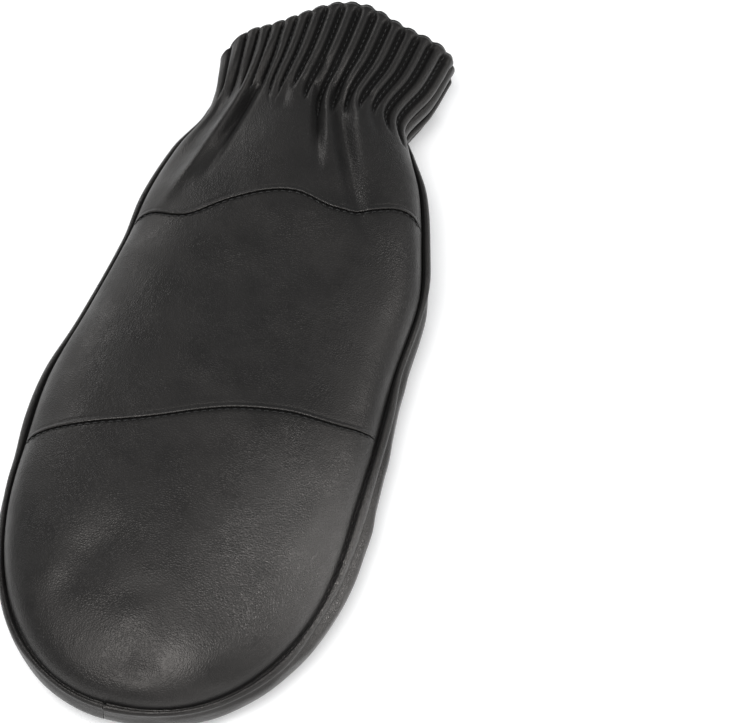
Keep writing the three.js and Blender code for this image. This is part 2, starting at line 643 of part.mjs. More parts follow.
// A point of the band: so far out from the crease, a share of its height down and so far up from there.
function bandPoint({ plan, at, across, outwards }, out, down, up, back) {
  const spot = plan.clone().addScaledVector(outwards, out);
  const beside = at + (spot.y - plan.y) / handLength;
  const height = creaseHeight(beside, across) - down * bandHeightAt(beside) + up;
  return new THREE.Vector3(spot.x, spot.y - back, height);
}

// Beside the cuff the band lies flat, as one more rib.
const flattened = (at) => smoothstep(at, bandFlattens.from, bandFlattens.to);

function bandStrip(side) {
  const skinRow = (station) => {
    const ribbed = flattened(station.at);
    const bulge = bulgeAt(station.at, station.across);
    return bandProfile.map((point) => {
      const low = 1 - roll(point.place);
      const out = lerp(point.bead * beadSize + point.bulge * bulge, 0, ribbed);
      const drawn = grooveDepth(station.at, 0) * low + turnedIn(station.at);
      const down = lerp(point.down, point.place, ribbed);
      const up = point.up * beadSize * (1 - ribbed);
      return bandPoint(station, out - drawn, down, up, scallop(station.at) * low);
    });
  };
  const innerRow = (station) => {
    const bulge = bulgeAt(station.at, station.across) * (1 - flattened(station.at));
    return bandInside.map((point) => {
      const out = point.bulge * bulge - wallAt(station.at);
      return bandPoint(station, out, point.down, 0, 0);
    });
  };
  const stations = bandStations(side);
  const facing = (row) => (side < 0 ? row.reverse() : row);
  return leather(
    stations.map((station) => facing(skinRow(station))),
    everyOther(stations).map((station) => facing(innerRow(station))),
  );
}

// Booleans for the thumb: a closed geometry as a solid, and a solid as a geometry.
function solidOf(geometry) {
  const bare = geometry.clone();
  bare.deleteAttribute("normal");
  bare.deleteAttribute("uv");
  const merged = mergeVertices(bare, 1e-4);
  const mesh = new wasm.Mesh({
    numProp: 3,
    vertProperties: new Float32Array(merged.attributes.position.array),
    triVerts: new Uint32Array(merged.index.array),
  });
  return new wasm.Manifold(mesh);
}
function geometryOf(solid) {
  const { vertProperties, triVerts } = solid.getMesh();
  const geometry = new THREE.BufferGeometry();
  geometry.setAttribute("position", new THREE.BufferAttribute(vertProperties, 3));
  geometry.setIndex(new THREE.BufferAttribute(triVerts, 1));
  return geometry;
}

// The thumb's bag: rings from its base to its tip, flattened on the surface below it.
function thumbBag(inset) {
  const middleHeight = thumbThickness / 2 - pressDepth;
  const count = inset > 0 ? { rings: 9, sides: 14 } : { rings: 14, sides: 22 };
  const points = [];
  const faces = [];
  const rings = crowdedSteps(count.rings).map((share) => {
    const aside = (thumbWidth / 2 - inset) * roundedOff(share, thumbSquareness);
    const thick = (thumbThickness / 2 - inset) * roundedOff(share, thumbSquareness);
    const y = thumbCentre.y + share * (thumbLength / 2 - inset);
    return steps(count.sides).map((turn) => {
      const [c, s] = [Math.cos(2 * Math.PI * turn), Math.sin(2 * Math.PI * turn)];
      const x = thumbCentre.x + aside * Math.sign(c) * Math.abs(c) ** bagRoundness;
      const z = middleHeight + thick * Math.sign(s) * Math.abs(s) ** bagRoundness;
      return points.push(new THREE.Vector3(x, y, Math.max(z, inset))) - 1;
    });
  });
  for (let i = 0; i < rings.length - 1; i += 1) zip(rings[i + 1], rings[i], faces);
  return solidOf(closedGeometry(points, faces));
}

// An oval post through the thumb's top and the palm, wider or narrower than the neck by the margin.
function neckPost(margin, bottom, top) {
  const post = new THREE.CylinderGeometry(1, 1, top - bottom, 28);
  post.rotateX(Math.PI / 2);
  post.scale(neckWidth / 2 + margin, neckLength / 2 + margin, 1);
  const y = thumbCentre.y + thumbLength / 2 - neckSetback - neckLength / 2;
  post.translate(thumbCentre.x, y, (bottom + top) / 2);
  return solidOf(post);
}
const palmTop = thumbTop + seamGap + leatherWall;

// The bag with a neck that stands up through the palm and opens into the hand.
function thumb() {
  const outside = thumbBag(0).add(neckPost(0, thumbTop / 2, palmTop));
  const inside = thumbBag(leatherWall).add(neckPost(-leatherWall, thumbTop / 2, palmTop + leatherWall));
  return geometryOf(outside.subtract(inside));
}

function palm() {
  const hole = neckPost(seamGap, thumbTop / 2, palmTop + leatherWall);
  return geometryOf(solidOf(palmLeather()).subtract(hole));
}

function addPiece(group, name, geometry) {
  const surface = new THREE.MeshStandardMaterial({ color: "#1c1b1b", roughness: 0.42, metalness: 0 });
  geometry.computeVertexNormals();
  const piece = new THREE.Mesh(geometry, surface);
  piece.name = name;
  group.add(piece);
}

const mitten = new THREE.Group();
addPiece(mitten, "back_tip", backTip());
addPiece(mitten, "back_middle", backMiddle());
addPiece(mitten, "back_wrist", backWrist());
addPiece(mitten, "band_outer", bandStrip(-1));
addPiece(mitten, "band_thumb", bandStrip(1));
addPiece(mitten, "palm", palm());
addPiece(mitten, "thumb", thumb());

// The origin is under the middle of the mitten, on the surface that it lies on.
const box = new THREE.Box3().setFromObject(mitten);
const middle = box.getCenter(new THREE.Vector3());
mitten.position.set(-middle.x, -middle.y, -box.min.z);

export default mitten;
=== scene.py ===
# %% [markdown]
# # A leather mitten, dressed around its imported model
# The imported model holds seven plain leather pieces in the right place: three pieces of the back, two strips
# of the side band, the palm and the thumb. This notebook gives each of them the surface of the real thing:
# fine mesh, rolled edges, folds, padded ribs, stitches and black glove leather.
# We load the model first, and the box of its tip piece gives the place of our origin.

# %% Load the model as a fixed frame
import math

import bmesh
import bpy
import numpy as np
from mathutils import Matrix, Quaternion, Vector


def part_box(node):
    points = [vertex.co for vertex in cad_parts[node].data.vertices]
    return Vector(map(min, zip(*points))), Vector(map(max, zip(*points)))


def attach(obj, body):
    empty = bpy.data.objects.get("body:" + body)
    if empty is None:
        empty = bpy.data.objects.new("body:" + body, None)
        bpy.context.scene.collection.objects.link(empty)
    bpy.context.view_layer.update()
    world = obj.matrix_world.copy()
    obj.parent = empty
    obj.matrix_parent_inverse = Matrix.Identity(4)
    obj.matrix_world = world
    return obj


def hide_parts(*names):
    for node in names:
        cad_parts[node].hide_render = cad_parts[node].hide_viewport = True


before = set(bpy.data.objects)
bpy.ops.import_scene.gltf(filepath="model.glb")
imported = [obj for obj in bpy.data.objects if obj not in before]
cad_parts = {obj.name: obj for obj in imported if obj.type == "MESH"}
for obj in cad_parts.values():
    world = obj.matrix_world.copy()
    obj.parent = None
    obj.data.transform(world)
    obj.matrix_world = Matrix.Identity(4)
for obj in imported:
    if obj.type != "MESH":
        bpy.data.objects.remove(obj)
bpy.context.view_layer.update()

MM = 0.001
print("nodes:", ", ".join(sorted(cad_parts)))

# %% [markdown]
# ## Camera, floor and light
# A glove is photographed from above on a white table, under a big soft box with much white around it, and
# a few smaller boxes far to the sides draw highlights on the folds that face them.
# The camera stands far off with a long lens, so that the sides stay almost parallel. We find its place from
# two angles and a distance, look at the mitten, and then turn the camera a little to the right about its own
# upright axis, so that the mitten lies left of the middle of the picture and doesn't tilt.

# %% The camera
PICTURE_WIDTH = 740
FOCAL_PIXELS = 2850
MITTEN_LEFT_OF_CENTRE = 130
SENSOR_WIDTH = 36.0
CAMERA_DISTANCE = 0.95
CAMERA_AZIMUTH = math.radians(15)
CAMERA_ELEVATION = math.radians(58)
MITTEN_CENTRE = Vector((0.0014, -0.0005, 0.012))

towards_camera = Vector((
    math.sin(CAMERA_AZIMUTH) * math.cos(CAMERA_ELEVATION),
    -math.cos(CAMERA_AZIMUTH) * math.cos(CAMERA_ELEVATION),
    math.sin(CAMERA_ELEVATION),
))
look_at_mitten = (-towards_camera).to_track_quat("-Z", "Y")
turn_right = Quaternion((0, 1, 0), -math.atan(MITTEN_LEFT_OF_CENTRE / FOCAL_PIXELS))

camera_data = bpy.data.cameras.new("camera")
camera_data.sensor_width = SENSOR_WIDTH
camera_data.lens = FOCAL_PIXELS / PICTURE_WIDTH * SENSOR_WIDTH
camera = bpy.data.objects.new("camera", camera_data)
camera.location = MITTEN_CENTRE + towards_camera * CAMERA_DISTANCE
camera.rotation_euler = (look_at_mitten @ turn_right).to_euler()
bpy.context.scene.collection.objects.link(camera)
bpy.context.scene.camera = camera
print("lens in mm:", round(camera_data.lens, 1))

# %% The floor and the lights
# Each box: where it hangs and the place that it faces, its width and its power in watts.
SOFT_BOXES = {
    "front_box": ((-0.1, -0.6, 1.4), (0, -0.05, 0), 0.7, 19),
    "left_box": ((-1.08, 0.9, 0.51), (0, 0, 0.02), 0.3, 3.5),
    "right_box": ((1.06, 0.3, 1.0), (0, 0, 0.02), 0.35, 6.5),
    "low_box": ((0.8, -0.95, 0.4), (0, 0, 0.02), 0.4, 2.5),
}
ROOM_LIGHT = (0.95, 0.975, 1, 1)
ROOM_STRENGTH = 0.31
FLOOR_WHITE = (0.92, 0.92, 0.92, 1)
FLOOR_ROUGHNESS = 0.7
FLOOR_GLOW = 0.2
FLOOR_RADIUS = 6
FLOOR_CORNERS = 96
FLOOR_DROP = 0.0003


def soft_box(name, place, target, size, power):
    """A square area light that faces the target."""
    data = bpy.data.lights.new(name, "AREA")
    data.size = size
    data.energy = power
    lamp = bpy.data.objects.new(name, data)
    lamp.location = place
    lamp.rotation_euler = (Vector(target) - Vector(place)).to_track_quat("-Z", "Y").to_euler()
    bpy.context.scene.collection.objects.link(lamp)


def white_table():
    """Matt white that glows a little, as a table does when its far parts are lit as well."""
    material = bpy.data.materials.new("floor_white")
    material.use_nodes = True
    shader = material.node_tree.nodes["Principled BSDF"]
    shader.inputs["Base Color"].default_value = FLOOR_WHITE
    shader.inputs["Roughness"].default_value = FLOOR_ROUGHNESS
    shader.inputs["Emission Color"].default_value = FLOOR_WHITE
    shader.inputs["Emission Strength"].default_value = FLOOR_GLOW
    return material


bpy.ops.mesh.primitive_circle_add(vertices=FLOOR_CORNERS, radius=FLOOR_RADIUS, fill_type="NGON",
                                  location=(0, 0, -FLOOR_DROP))
floor = bpy.context.object
floor.name = "floor"
floor.data.materials.append(white_table())

world = bpy.data.worlds.new("studio")
world.use_nodes = True
world.node_tree.nodes["Background"].inputs["Color"].default_value = ROOM_LIGHT
world.node_tree.nodes["Background"].inputs["Strength"].default_value = ROOM_STRENGTH
bpy.context.scene.world = world
bpy.context.scene.view_settings.view_transform = "Standard"

for name, (place, target, size, power) in SOFT_BOXES.items():
    soft_box(name, place, target, size, power)
print("lights:", ", ".join(SOFT_BOXES))

# %% [markdown]
# ## The shape of the hand
# Leather work starts from a flat pattern, but the photo shows the finished shape, so we describe that shape
# by sections across the hand, as a boat is drawn. A short table gives each section its width, height and
# crown, and smooth curves run through its columns. All lengths here are millimetres, and the last step turns
# them into Blender's metres.

# %% Sizes and sections
HAND_LENGTH = 228.5
HAND_WIDTH = 110.5
HAND_HEIGHT = 40.0
WRIST_WIDTH = 66.0
CUFF_LENGTH = 41.5
CUFF_WIDTH = 81.0
CUFF_HEIGHT = 40.0
LEATHER_WALL = 2.0
CUFF_WALL = 3.2
SEAM_GAP = 0.3
BAND_HEIGHT = 13.0
BAND_BULGE = 3.0
ROUND_FROM = 0.326
CROWN_SQUARENESS = 2.35
TIP_SQUARENESS = {"left": 2.1, "right": 2.25}

# "at" is 0 at the fingertips, 1 at the wrist and 2 at the cuff's open end. left, centre and right are
# shares of half the width, the creases and the crown are shares of the height beside them, band and the
# bulges are shares of the band's own sizes, and palm says how square the palm's side is.
SECTION_COLUMNS = ("at width left centre right height crease_left crease_right crown "
                   "band bulge_left bulge_right palm").split()
SECTION_ROWS = [
    (0.000, HAND_WIDTH, -1.023, -0.103, 0.934, HAND_HEIGHT, 0.45, 0.45, 0.43, 0.78, 0.6, 0.7, 3.2),
    (0.326, HAND_WIDTH, -1.023, -0.103, 0.934, HAND_HEIGHT, 0.49, 0.50, 0.45, 0.96, 1.1, 2.1, 3.2),
    (0.457, HAND_WIDTH, -1.030, -0.070, 0.948, HAND_HEIGHT, 0.50, 0.535, 0.455, 1.0, 0.9, 1.75, 3.2),
    (0.587, HAND_WIDTH, -0.937, -0.020, 0.947, HAND_HEIGHT, 0.51, 0.565, 0.45, 1.0, 0.6, 1.3, 3.2),
    (0.717, HAND_WIDTH, -0.852, 0.040, 0.974, HAND_HEIGHT, 0.525, 0.60, 0.45, 1.0, 0.4, 1.0, 3.1),
    (0.804, HAND_WIDTH, -0.820, 0.045, 0.905, HAND_HEIGHT, 0.54, 0.65, 0.45, 0.97, 0.4, 1.0, 3.0),
    (0.891, HAND_WIDTH, -0.743, 0.035, 0.807, HAND_HEIGHT, 0.55, 0.68, 0.41, 0.85, 0.4, 0.9, 2.8),
    (0.957, HAND_WIDTH, -0.637, 0.020, 0.684, HAND_HEIGHT, 0.57, 0.69, 0.38, 0.62, 0.4, 0.6, 2.5),
    (1.040, WRIST_WIDTH, -1.045, 0.030, 1.030, CUFF_HEIGHT, 0.575, 0.66, 0.385, 0.48, 0.0, 0.0, 2.4),
    (1.500, CUFF_WIDTH, -0.875, 0.050, 0.980, CUFF_HEIGHT, 0.575, 0.60, 0.42, 0.46, 0.0, 0.0, 2.3),
    (2.000, CUFF_WIDTH, -0.910, 0.074, 1.074, CUFF_HEIGHT, 0.56, 0.575, 0.435, 0.46, 0.0, 0.0, 2.3),
]
SECTION = dict(zip(SECTION_COLUMNS, np.array(SECTION_ROWS).T))

# The seams across the back, each point a place from the left crease (-1) to the right one (1) and a place
# along. The open end has points of the same kind, which say by what share of its length the cuff is shorter.
LOWER_SEAM = [(-1, 0.344), (-0.93, 0.351), (-0.65, 0.369), (-0.25, 0.396), (0.165, 0.436), (0.485, 0.453),
              (0.765, 0.459), (0.93, 0.468), (1, 0.474)]
UPPER_SEAM = [(-1, 0.738), (-0.9, 0.746), (-0.62, 0.742), (-0.37, 0.776), (-0.1, 0.804), (0.09, 0.81),
              (0.35, 0.797), (0.57, 0.806), (0.81, 0.828), (0.92, 0.831), (1, 0.824)]
RIM_SHORTNESS = [(-1, 0.6), (-0.94, 0.53), (-0.82, 0.42), (-0.62, 0.35), (-0.43, 0.24), (-0.2, 0.08),
                 (-0.02, 0), (0.2, -0.01), (0.48, 0.08), (0.7, 0.11), (1, 0.11)]


def smooth_curve(places, values):
    """A smooth curve through the points, flat past its ends."""
    places, values = np.array(places, float), np.array(values, float)
    before = np.maximum(np.arange(len(places)) - 1, 0)
    after = np.minimum(np.arange(len(places)) + 1, len(places) - 1)
    slopes = (values[after] - values[before]) / (places[after] - places[before])

    def curve(place):
        place = np.asarray(place, float)
        i = np.clip(np.searchsorted(places, place) - 1, 0, len(places) - 2)
        span = places[i + 1] - places[i]
        t = np.clip((place - places[i]) / span, 0, 1)
        rise = (3 - 2 * t) * t * t
        bend = span * t * (1 - t) * ((1 - t) * slopes[i] - t * slopes[i + 1])
        return values[i] * (1 - rise) + values[i + 1] * rise + bend

    return curve


def in_hand_lengths(at):
    """The same place measured in lengths of the hand, so that no curve has a kink where the cuff starts."""
    return np.where(np.asarray(at) <= 1, at, 1 + (np.asarray(at) - 1) * CUFF_LENGTH / HAND_LENGTH)


def section_curve(name, times=1.0):
    curve = smooth_curve(in_hand_lengths(SECTION["at"]), SECTION[name] * times)
    return lambda at: curve(in_hand_lengths(at))


left_crease = section_curve("left", SECTION["width"] / 2)
centre_line = section_curve("centre", SECTION["width"] / 2)
right_crease = section_curve("right", SECTION["width"] / 2)
left_crease_height = section_curve("crease_left", SECTION["height"])
right_crease_height = section_curve("crease_right", SECTION["height"])
crown_height = section_curve("crown", SECTION["height"])
band_height_at = section_curve("band", BAND_HEIGHT)
left_bulge = section_curve("bulge_left", BAND_BULGE)
right_bulge = section_curve("bulge_right", BAND_BULGE)
palm_squareness = section_curve("palm")
lower_seam_at = smooth_curve(*zip(*LOWER_SEAM))
upper_seam_at = smooth_curve(*zip(*UPPER_SEAM))
rim_shortness_at = smooth_curve(*zip(*RIM_SHORTNESS))
print("creases apart in mm:", round(float(right_crease(ROUND_FROM) - left_crease(ROUND_FROM)), 1))

# %% [markdown]
# ## Places on the mitten
# Every point of the leather is found in the same way: how far along the hand it lies, how far across, and
# how far from the middle towards the outline. Round the fingertips the outline is a superellipse, which is
# an ellipse that can be made a little squarer.

# %% Helpers for the plan
WALL_GROWS = (0.93, 1.08)
SIDE_POINTS = 60
QUARTER_POINTS = 160


def blend(start, end, share):
    return start + (end - start) * share


def ease(value, low, high):
    """0 below low, 1 above high and a smooth step between them."""
    t = np.clip((value - low) / (high - low), 0, 1)
    return t * t * (3 - 2 * t)


def rounded_off(share, power):
    return (1 - np.minimum(np.abs(share), 1) ** power) ** (1 / power)


def along(at, across):
    cuff = HAND_LENGTH + (at - 1) * CUFF_LENGTH * (1 - rim_shortness_at(across))
    return np.where(at <= 1, at * HAND_LENGTH, cuff)


def wall_at(at):
    return blend(LEATHER_WALL, CUFF_WALL, ease(at, *WALL_GROWS))


def half_width(at, across, inset):
    centre = centre_line(at)
    return np.where(across < 0, centre - left_crease(at), right_crease(at) - centre) - inset


def plan_point(at, across, inset=0.0):
    """x and y of a share across a section."""
    x = centre_line(at) + across * half_width(at, across, inset)
    return np.stack(np.broadcast_arrays(x, along(at, across)), -1)


def place_in_plan(x, at, inset=0.0):
    """The share across the section, and how far out towards the outline (1) the point lies."""
    left = x < centre_line(at)
    across = (x - centre_line(at)) / half_width(at, np.where(left, -1, 1), inset)
    power = np.where(left, TIP_SQUARENESS["left"], TIP_SQUARENESS["right"])
    tip_length = ROUND_FROM * HAND_LENGTH - inset
    beyond = np.maximum(ROUND_FROM - at, 0) * HAND_LENGTH / tip_length
    outwards = (np.abs(across) ** power + beyond ** power) ** (1 / power)
    return np.clip(across, -1, 1), np.clip(outwards, 0, 1)


def left_to_right(left, right, across):
    return blend(left, right, (np.clip(across, -1, 1) + 1) / 2)


def crease_height(at, across):
    return left_to_right(left_crease_height(at), right_crease_height(at), across)


def evenly_along(points):
    """A function that gives the point at a share of a polyline's length."""
    lengths = np.r_[0, np.cumsum(np.linalg.norm(np.diff(points, axis=0), axis=1))]

    def at_share(share):
        return np.stack([np.interp(share, lengths / lengths[-1], points[:, i]) for i in (0, 1)], -1)

    return at_share


def outline_path(left_at, right_at, inset=0.0):
    """The outline from the left side round the fingertips to the right side."""
    side, quarter = np.linspace(0, 1, SIDE_POINTS), np.linspace(0, 1, QUARTER_POINTS)
    tip_y = ROUND_FROM * HAND_LENGTH
    parts = [plan_point(blend(left_at, ROUND_FROM, side), -1, inset)]
    for sign, name, share in ((-1, "left", quarter), (1, "right", 1 - quarter)):
        power = 2 / TIP_SQUARENESS[name]
        angle = share * math.pi / 2
        x = centre_line(0) + sign * half_width(ROUND_FROM, sign, inset) * np.cos(angle) ** power
        y = tip_y - (tip_y - inset) * np.sin(angle) ** power
        parts.append(np.stack([x, y], -1))
    parts.append(plan_point(blend(ROUND_FROM, right_at, side), 1, inset))
    return evenly_along(np.concatenate(parts))


def steps(count):
    return np.linspace(0, 1, count + 1)


def crowded(count):
    """Shares from -1 to 1 that crowd together at both ends, where the leather bends most."""
    return -np.cos(math.pi * steps(count))


def graded(count, first=1.0, last=1.0, reach=10):
    """Shares from 0 to 1 whose steps are smaller at the start and the end."""
    i = np.arange(count)
    size = 1 - (1 - first) * np.exp(-i / reach) - (1 - last) * np.exp(-(count - 1 - i) / reach)
    return np.r_[0, np.cumsum(size)] / size.sum()


print("fingertips of the outline in mm:", np.round(outline_path(ROUND_FROM, ROUND_FROM)(0.5), 1))

# %% [markdown]
# ## Folds and soft unevenness
# Leather that has been sewn and handled isn't smooth: it is gathered into folds at the wrist and has soft
# dents where the lining is loose. Each fold is a stretch between two places with a width and a height, and
# its cross section is a bell curve. Between them a quiet random cloud moves the leather by a fraction of a
# millimetre, with a fixed seed so that each run gives the same mitten.

# %% Folds, dents and clouds
FOLD_DEPTH = 4.0
# Each fold is a curve with a start, a place that it bends towards, and an end, all given across and along.
# The width is a share of the hand's, the height a share of the depth, and it fades out at its end. A fold
# that comes out of the cuff is at its highest where it starts, and the others fade in.
FOLD_COLUMNS = "across at bend_across bend_at end_across end_at width height starts_high".split()
FOLDS = {
    "left ridge": (-0.61, 1.08, -0.670, 0.885, -0.86, 0.730, 0.019, 0.62, 1),
    "left valley": (-0.49, 1.08, -0.595, 0.92, -0.62, 0.800, 0.017, -0.80, 1),
    "left valley's soft side": (-0.50, 0.97, -0.56, 0.88, -0.58, 0.760, 0.090, -0.24, 1),
    "left edge hollow": (-0.74, 1.08, -0.79, 0.93, -0.92, 0.780, 0.034, -0.70, 1),
    "right fold": (0.0, 1.06, 0.10, 0.96, 0.185, 0.850, 0.022, -1.00, 1),
    "right fold's soft side": (0.06, 1.06, 0.15, 0.94, 0.26, 0.800, 0.055, -0.40, 1),
    "between right folds": (0.08, 1.06, 0.17, 0.96, 0.29, 0.830, 0.028, 0.42, 1),
    "right valley": (0.12, 1.06, 0.34, 0.940, 0.60, 0.740, 0.030, -1.25, 1),
    "right valley's foot": (0.42, 0.88, 0.56, 0.830, 0.46, 0.740, 0.080, -0.16, 0),
    "right shoulder": (0.42, 0.99, 0.62, 0.930, 0.74, 0.820, 0.080, 0.26, 0),
    "middle bulge": (-0.22, 0.98, -0.12, 0.900, -0.05, 0.790, 0.130, 0.36, 0),
    "soft valley": (-0.40, 0.74, 0.0, 0.640, 0.25, 0.540, 0.150, -0.20, 0),
    "second soft valley": (-0.62, 0.56, -0.3, 0.600, 0.0, 0.620, 0.120, -0.10, 0),
    "tip valley": (-0.24, 0.255, -0.36, 0.170, -0.50, 0.070, 0.070, -0.42, 0),
    "tip swell": (-0.44, 0.21, -0.55, 0.150, -0.62, 0.090, 0.060, 0.16, 0),
    "tip swell, middle": (-0.10, 0.13, 0.02, 0.090, 0.16, 0.070, 0.090, 0.22, 0),
    "tip dent, right": (0.40, 0.025, 0.80, 0.070, 0.97, 0.210, 0.038, -0.62, 0),
    "tip cheek, right": (0.88, 0.40, 0.76, 0.240, 0.60, 0.110, 0.050, 0.42, 0),
    "tip dent, middle": (0.02, 0.020, 0.14, 0.050, 0.26, 0.030, 0.036, -0.36, 0),
}
# Sharper creases that only the fine mesh can show.
FINE_FOLDS = {
    "left valley, sharp": (-0.575, 1.00, -0.635, 0.915, -0.65, 0.850, 0.013, -0.26, 1),
    "right fold, sharp": (0.005, 1.02, 0.09, 0.96, 0.155, 0.90, 0.010, -0.34, 1),
    "cuff fold, first": (-0.28, 1.01, -0.26, 0.985, -0.25, 0.955, 0.016, -0.24, 1),
    "cuff fold, second": (-0.10, 1.02, -0.07, 0.990, -0.05, 0.965, 0.014, -0.30, 1),
    "cuff fold, third": (0.36, 1.02, 0.40, 0.985, 0.44, 0.950, 0.014, -0.28, 1),
    "cuff fold, fourth": (0.58, 1.02, 0.62, 0.985, 0.68, 0.940, 0.014, -0.26, 1),
}
BEND_STEPS = 6
FAR_AWAY = 1e9
# A fold that fades in is full at this share of its length. At its end, the first power keeps it high for
# long and the second one rounds it off. All of them fade out between two places along, where the ribs are.
FOLD_RISES_BY = 0.5
FOLD_END_POWERS = (3, 1.5)
FOLDS_FADE = (0.955, 1.12)
CLOUD_CELLS = 61


def curved_path(start, bend, end):
    share = np.linspace(0, 1, BEND_STEPS + 1)[:, None]
    return (1 - share) ** 2 * start + 2 * share * (1 - share) * bend + share ** 2 * end


def fold_lines(folds):
    """Each fold as a path in millimetres, its width, its height and whether it starts high."""
    lines = []
    for row in folds.values():
        fold = dict(zip(FOLD_COLUMNS, row))
        stops = []
        for part in ("", "bend_", "end_"):
            across, at = fold[part + "across"], fold[part + "at"]
            stops.append(np.array([plan_point(max(at, ROUND_FROM), across)[0], at * HAND_LENGTH]))
        lines.append((curved_path(*stops), fold["width"] * HAND_WIDTH, fold["height"] * FOLD_DEPTH,
                      fold["starts_high"]))
    return lines


MAIN_LINES = fold_lines(FOLDS)
FINE_LINES = fold_lines(FINE_FOLDS)


def nearest_on(path, x, y):
    """How far places are from a path, and the share of the path that they are nearest to."""
    nearest, share = np.full_like(x, FAR_AWAY), np.zeros_like(x)
    for i, (start, end) in enumerate(zip(path[:-1], path[1:])):
        run = end - start
        step = np.clip(((x - start[0]) * run[0] + (y - start[1]) * run[1]) / (run @ run), 0, 1)
        distance = np.hypot(x - start[0] - step * run[0], y - start[1] - step * run[1])
        share = np.where(distance < nearest, (i + step) / (len(path) - 1), share)
        nearest = np.minimum(distance, nearest)
    return nearest, share


def bell(distance, reach):
    return np.exp(-((distance / reach) ** 2))


def fold_height(x, y, lines):
    """The height of all the folds together: bell curves that fade out at their ends."""
    height = np.zeros_like(x)
    late, soft = FOLD_END_POWERS
    for path, width, most, starts_high in lines:
        distance, share = nearest_on(path, x, y)
        fading = (1 - share ** late) ** soft * np.maximum(ease(share, 0, FOLD_RISES_BY), starts_high)
        height += most * fading * bell(distance, width)
    return height


def cloud(x, y, size, seed):
    """Smooth random hills and hollows between -1 and 1, about one size apart."""
    heights = np.random.default_rng(seed).uniform(-1, 1, (CLOUD_CELLS, CLOUD_CELLS))
    column, row = np.floor(x / size).astype(int), np.floor(y / size).astype(int)
    u, v = x / size - column, y / size - row
    u, v = u * u * (3 - 2 * u), v * v * (3 - 2 * v)

    def corner(i, j):
        return heights[(column + i) % CLOUD_CELLS, (row + j) % CLOUD_CELLS]

    return blend(blend(corner(0, 0), corner(1, 0), u), blend(corner(0, 1), corner(1, 1), u), v)


print("folds:", len(FOLDS), "and", len(FINE_FOLDS), "sharp creases")

# %% [markdown]
# ## The back's surface
# Three pieces of leather make the back. Where two meet, the upper piece is folded under and stitched down on
# the lower one, so its edge is a small rolled ridge with a dark line below it. We add that relief as a
# function of the distance from the seam: a bump on the upper side, a dip on the lower one, and a small
# pucker for each stitch.

# %% The back's height
STITCH_PITCH = 2.5
PUCKER = 0.05
PUCKER_REACH = 1.6
# Each bump beside a cross seam: how far above the seam its middle is, its reach and its height.
ABOVE_SEAM = {"rolled edge": (0.55, 0.5, 0.36), "swell": (0, 4, 0.22), "dent behind it": (1.7, 0.35, -0.12)}
BELOW_SEAM = {"sunk strip": (0, 0.8, -0.22), "soft sink": (0, 4, -0.11)}
SLOPE_STEP = 0.02
# The folds and the seams' relief start this share of the way in from the outline.
FOLDS_INSIDE = 0.12
SEAMS_INSIDE = 0.03
# Each cloud: its height, the size of its hills and its seed.
BACK_CLOUDS = [(0.28, 21, 3), (0.1, 8, 5)]


def seam_distance(y, across, seam_at):
    """How far above the seam a point lies, at right angles to it, in millimetres."""
    rise = (seam_at(across + SLOPE_STEP) - seam_at(across - SLOPE_STEP)) * HAND_LENGTH
    slope = rise / (2 * SLOPE_STEP * HAND_WIDTH / 2)
    return (y - seam_at(across) * HAND_LENGTH) / np.sqrt(1 + slope ** 2)


def bumps(distance, rows):
    return sum(height * bell(distance - middle, reach) for middle, reach, height in rows.values())


def seam_relief(distance, x):
    """The rolled edge above a cross seam and the sunk strip below it."""
    pucker = PUCKER * np.sin(2 * math.pi * x / STITCH_PITCH) * bell(distance, PUCKER_REACH)
    return np.where(distance >= 0, bumps(distance, ABOVE_SEAM), bumps(distance, BELOW_SEAM)) + pucker


def back_height(x, y, at, inset=0.0):
    """The height of the back's skin, or of its smoother inner face where the inset is the wall."""
    across, outwards = place_in_plan(x, at, inset)
    crown = (crown_height(at) - inset) * rounded_off(outwards, CROWN_SQUARENESS)
    inside = ease(1 - outwards, 0, FOLDS_INSIDE)
    height = crease_height(at, across) + SEAM_GAP + crown
    before_cuff = 1 - ease(y / HAND_LENGTH, *FOLDS_FADE)
    height = height + fold_height(x, y, MAIN_LINES) * inside * before_cuff
    if inset > 0:
        return height
    unevenness = fold_height(x, y, FINE_LINES)
    for most, size, seed in BACK_CLOUDS:
        unevenness = unevenness + most * cloud(x, y, size, seed)
    height = height + inside * before_cuff * unevenness
    for seam_at in (lower_seam_at, upper_seam_at):
        relief = seam_relief(seam_distance(y, across, seam_at), x)
        height = height + relief * ease(1 - outwards, 0, SEAMS_INSIDE)
    return height


def back_surface(x, at, y, inset=0.0):
    return np.stack([x, y, back_height(x, y, at, inset)], -1)


def on_surface(surface, at, across, inset=0.0):
    """Points of a surface at places along and shares across the hand."""
    at, across = np.broadcast_arrays(at, across)
    points = plan_point(at, across, inset)
    return surface(points[..., 0], at, points[..., 1], inset)


print("crown above the creases in mm:", round(float(crown_height(ROUND_FROM)), 1))

# %% [markdown]
# ## From a grid of points to a leather wall
# A piece of leather has two faces and an edge. A Solidify modifier could thicken one sheet, but then each
# fold of the skin would show inside as well. So we make two grids with the same rows and columns, one for
# the skin and one for the smoother inner face, and join them round the border. The result is a closed mesh.

# %% Make the meshes
tip_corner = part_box("back_tip")[0]
ORIGIN = np.array([tip_corner.x / MM - float(left_crease(lower_seam_at(-1))), tip_corner.y / MM, 0.0])
# In degrees, and in metres.
SHARP_ANGLE = 50
MERGE_DISTANCE = 1e-6
FLAT_DISTANCE = 1e-7
print("middle line and fingertips in mm:", np.round(ORIGIN[:2], 2))


def in_metres(points):
    return (np.asarray(points).reshape(-1, 3) + ORIGIN) * MM


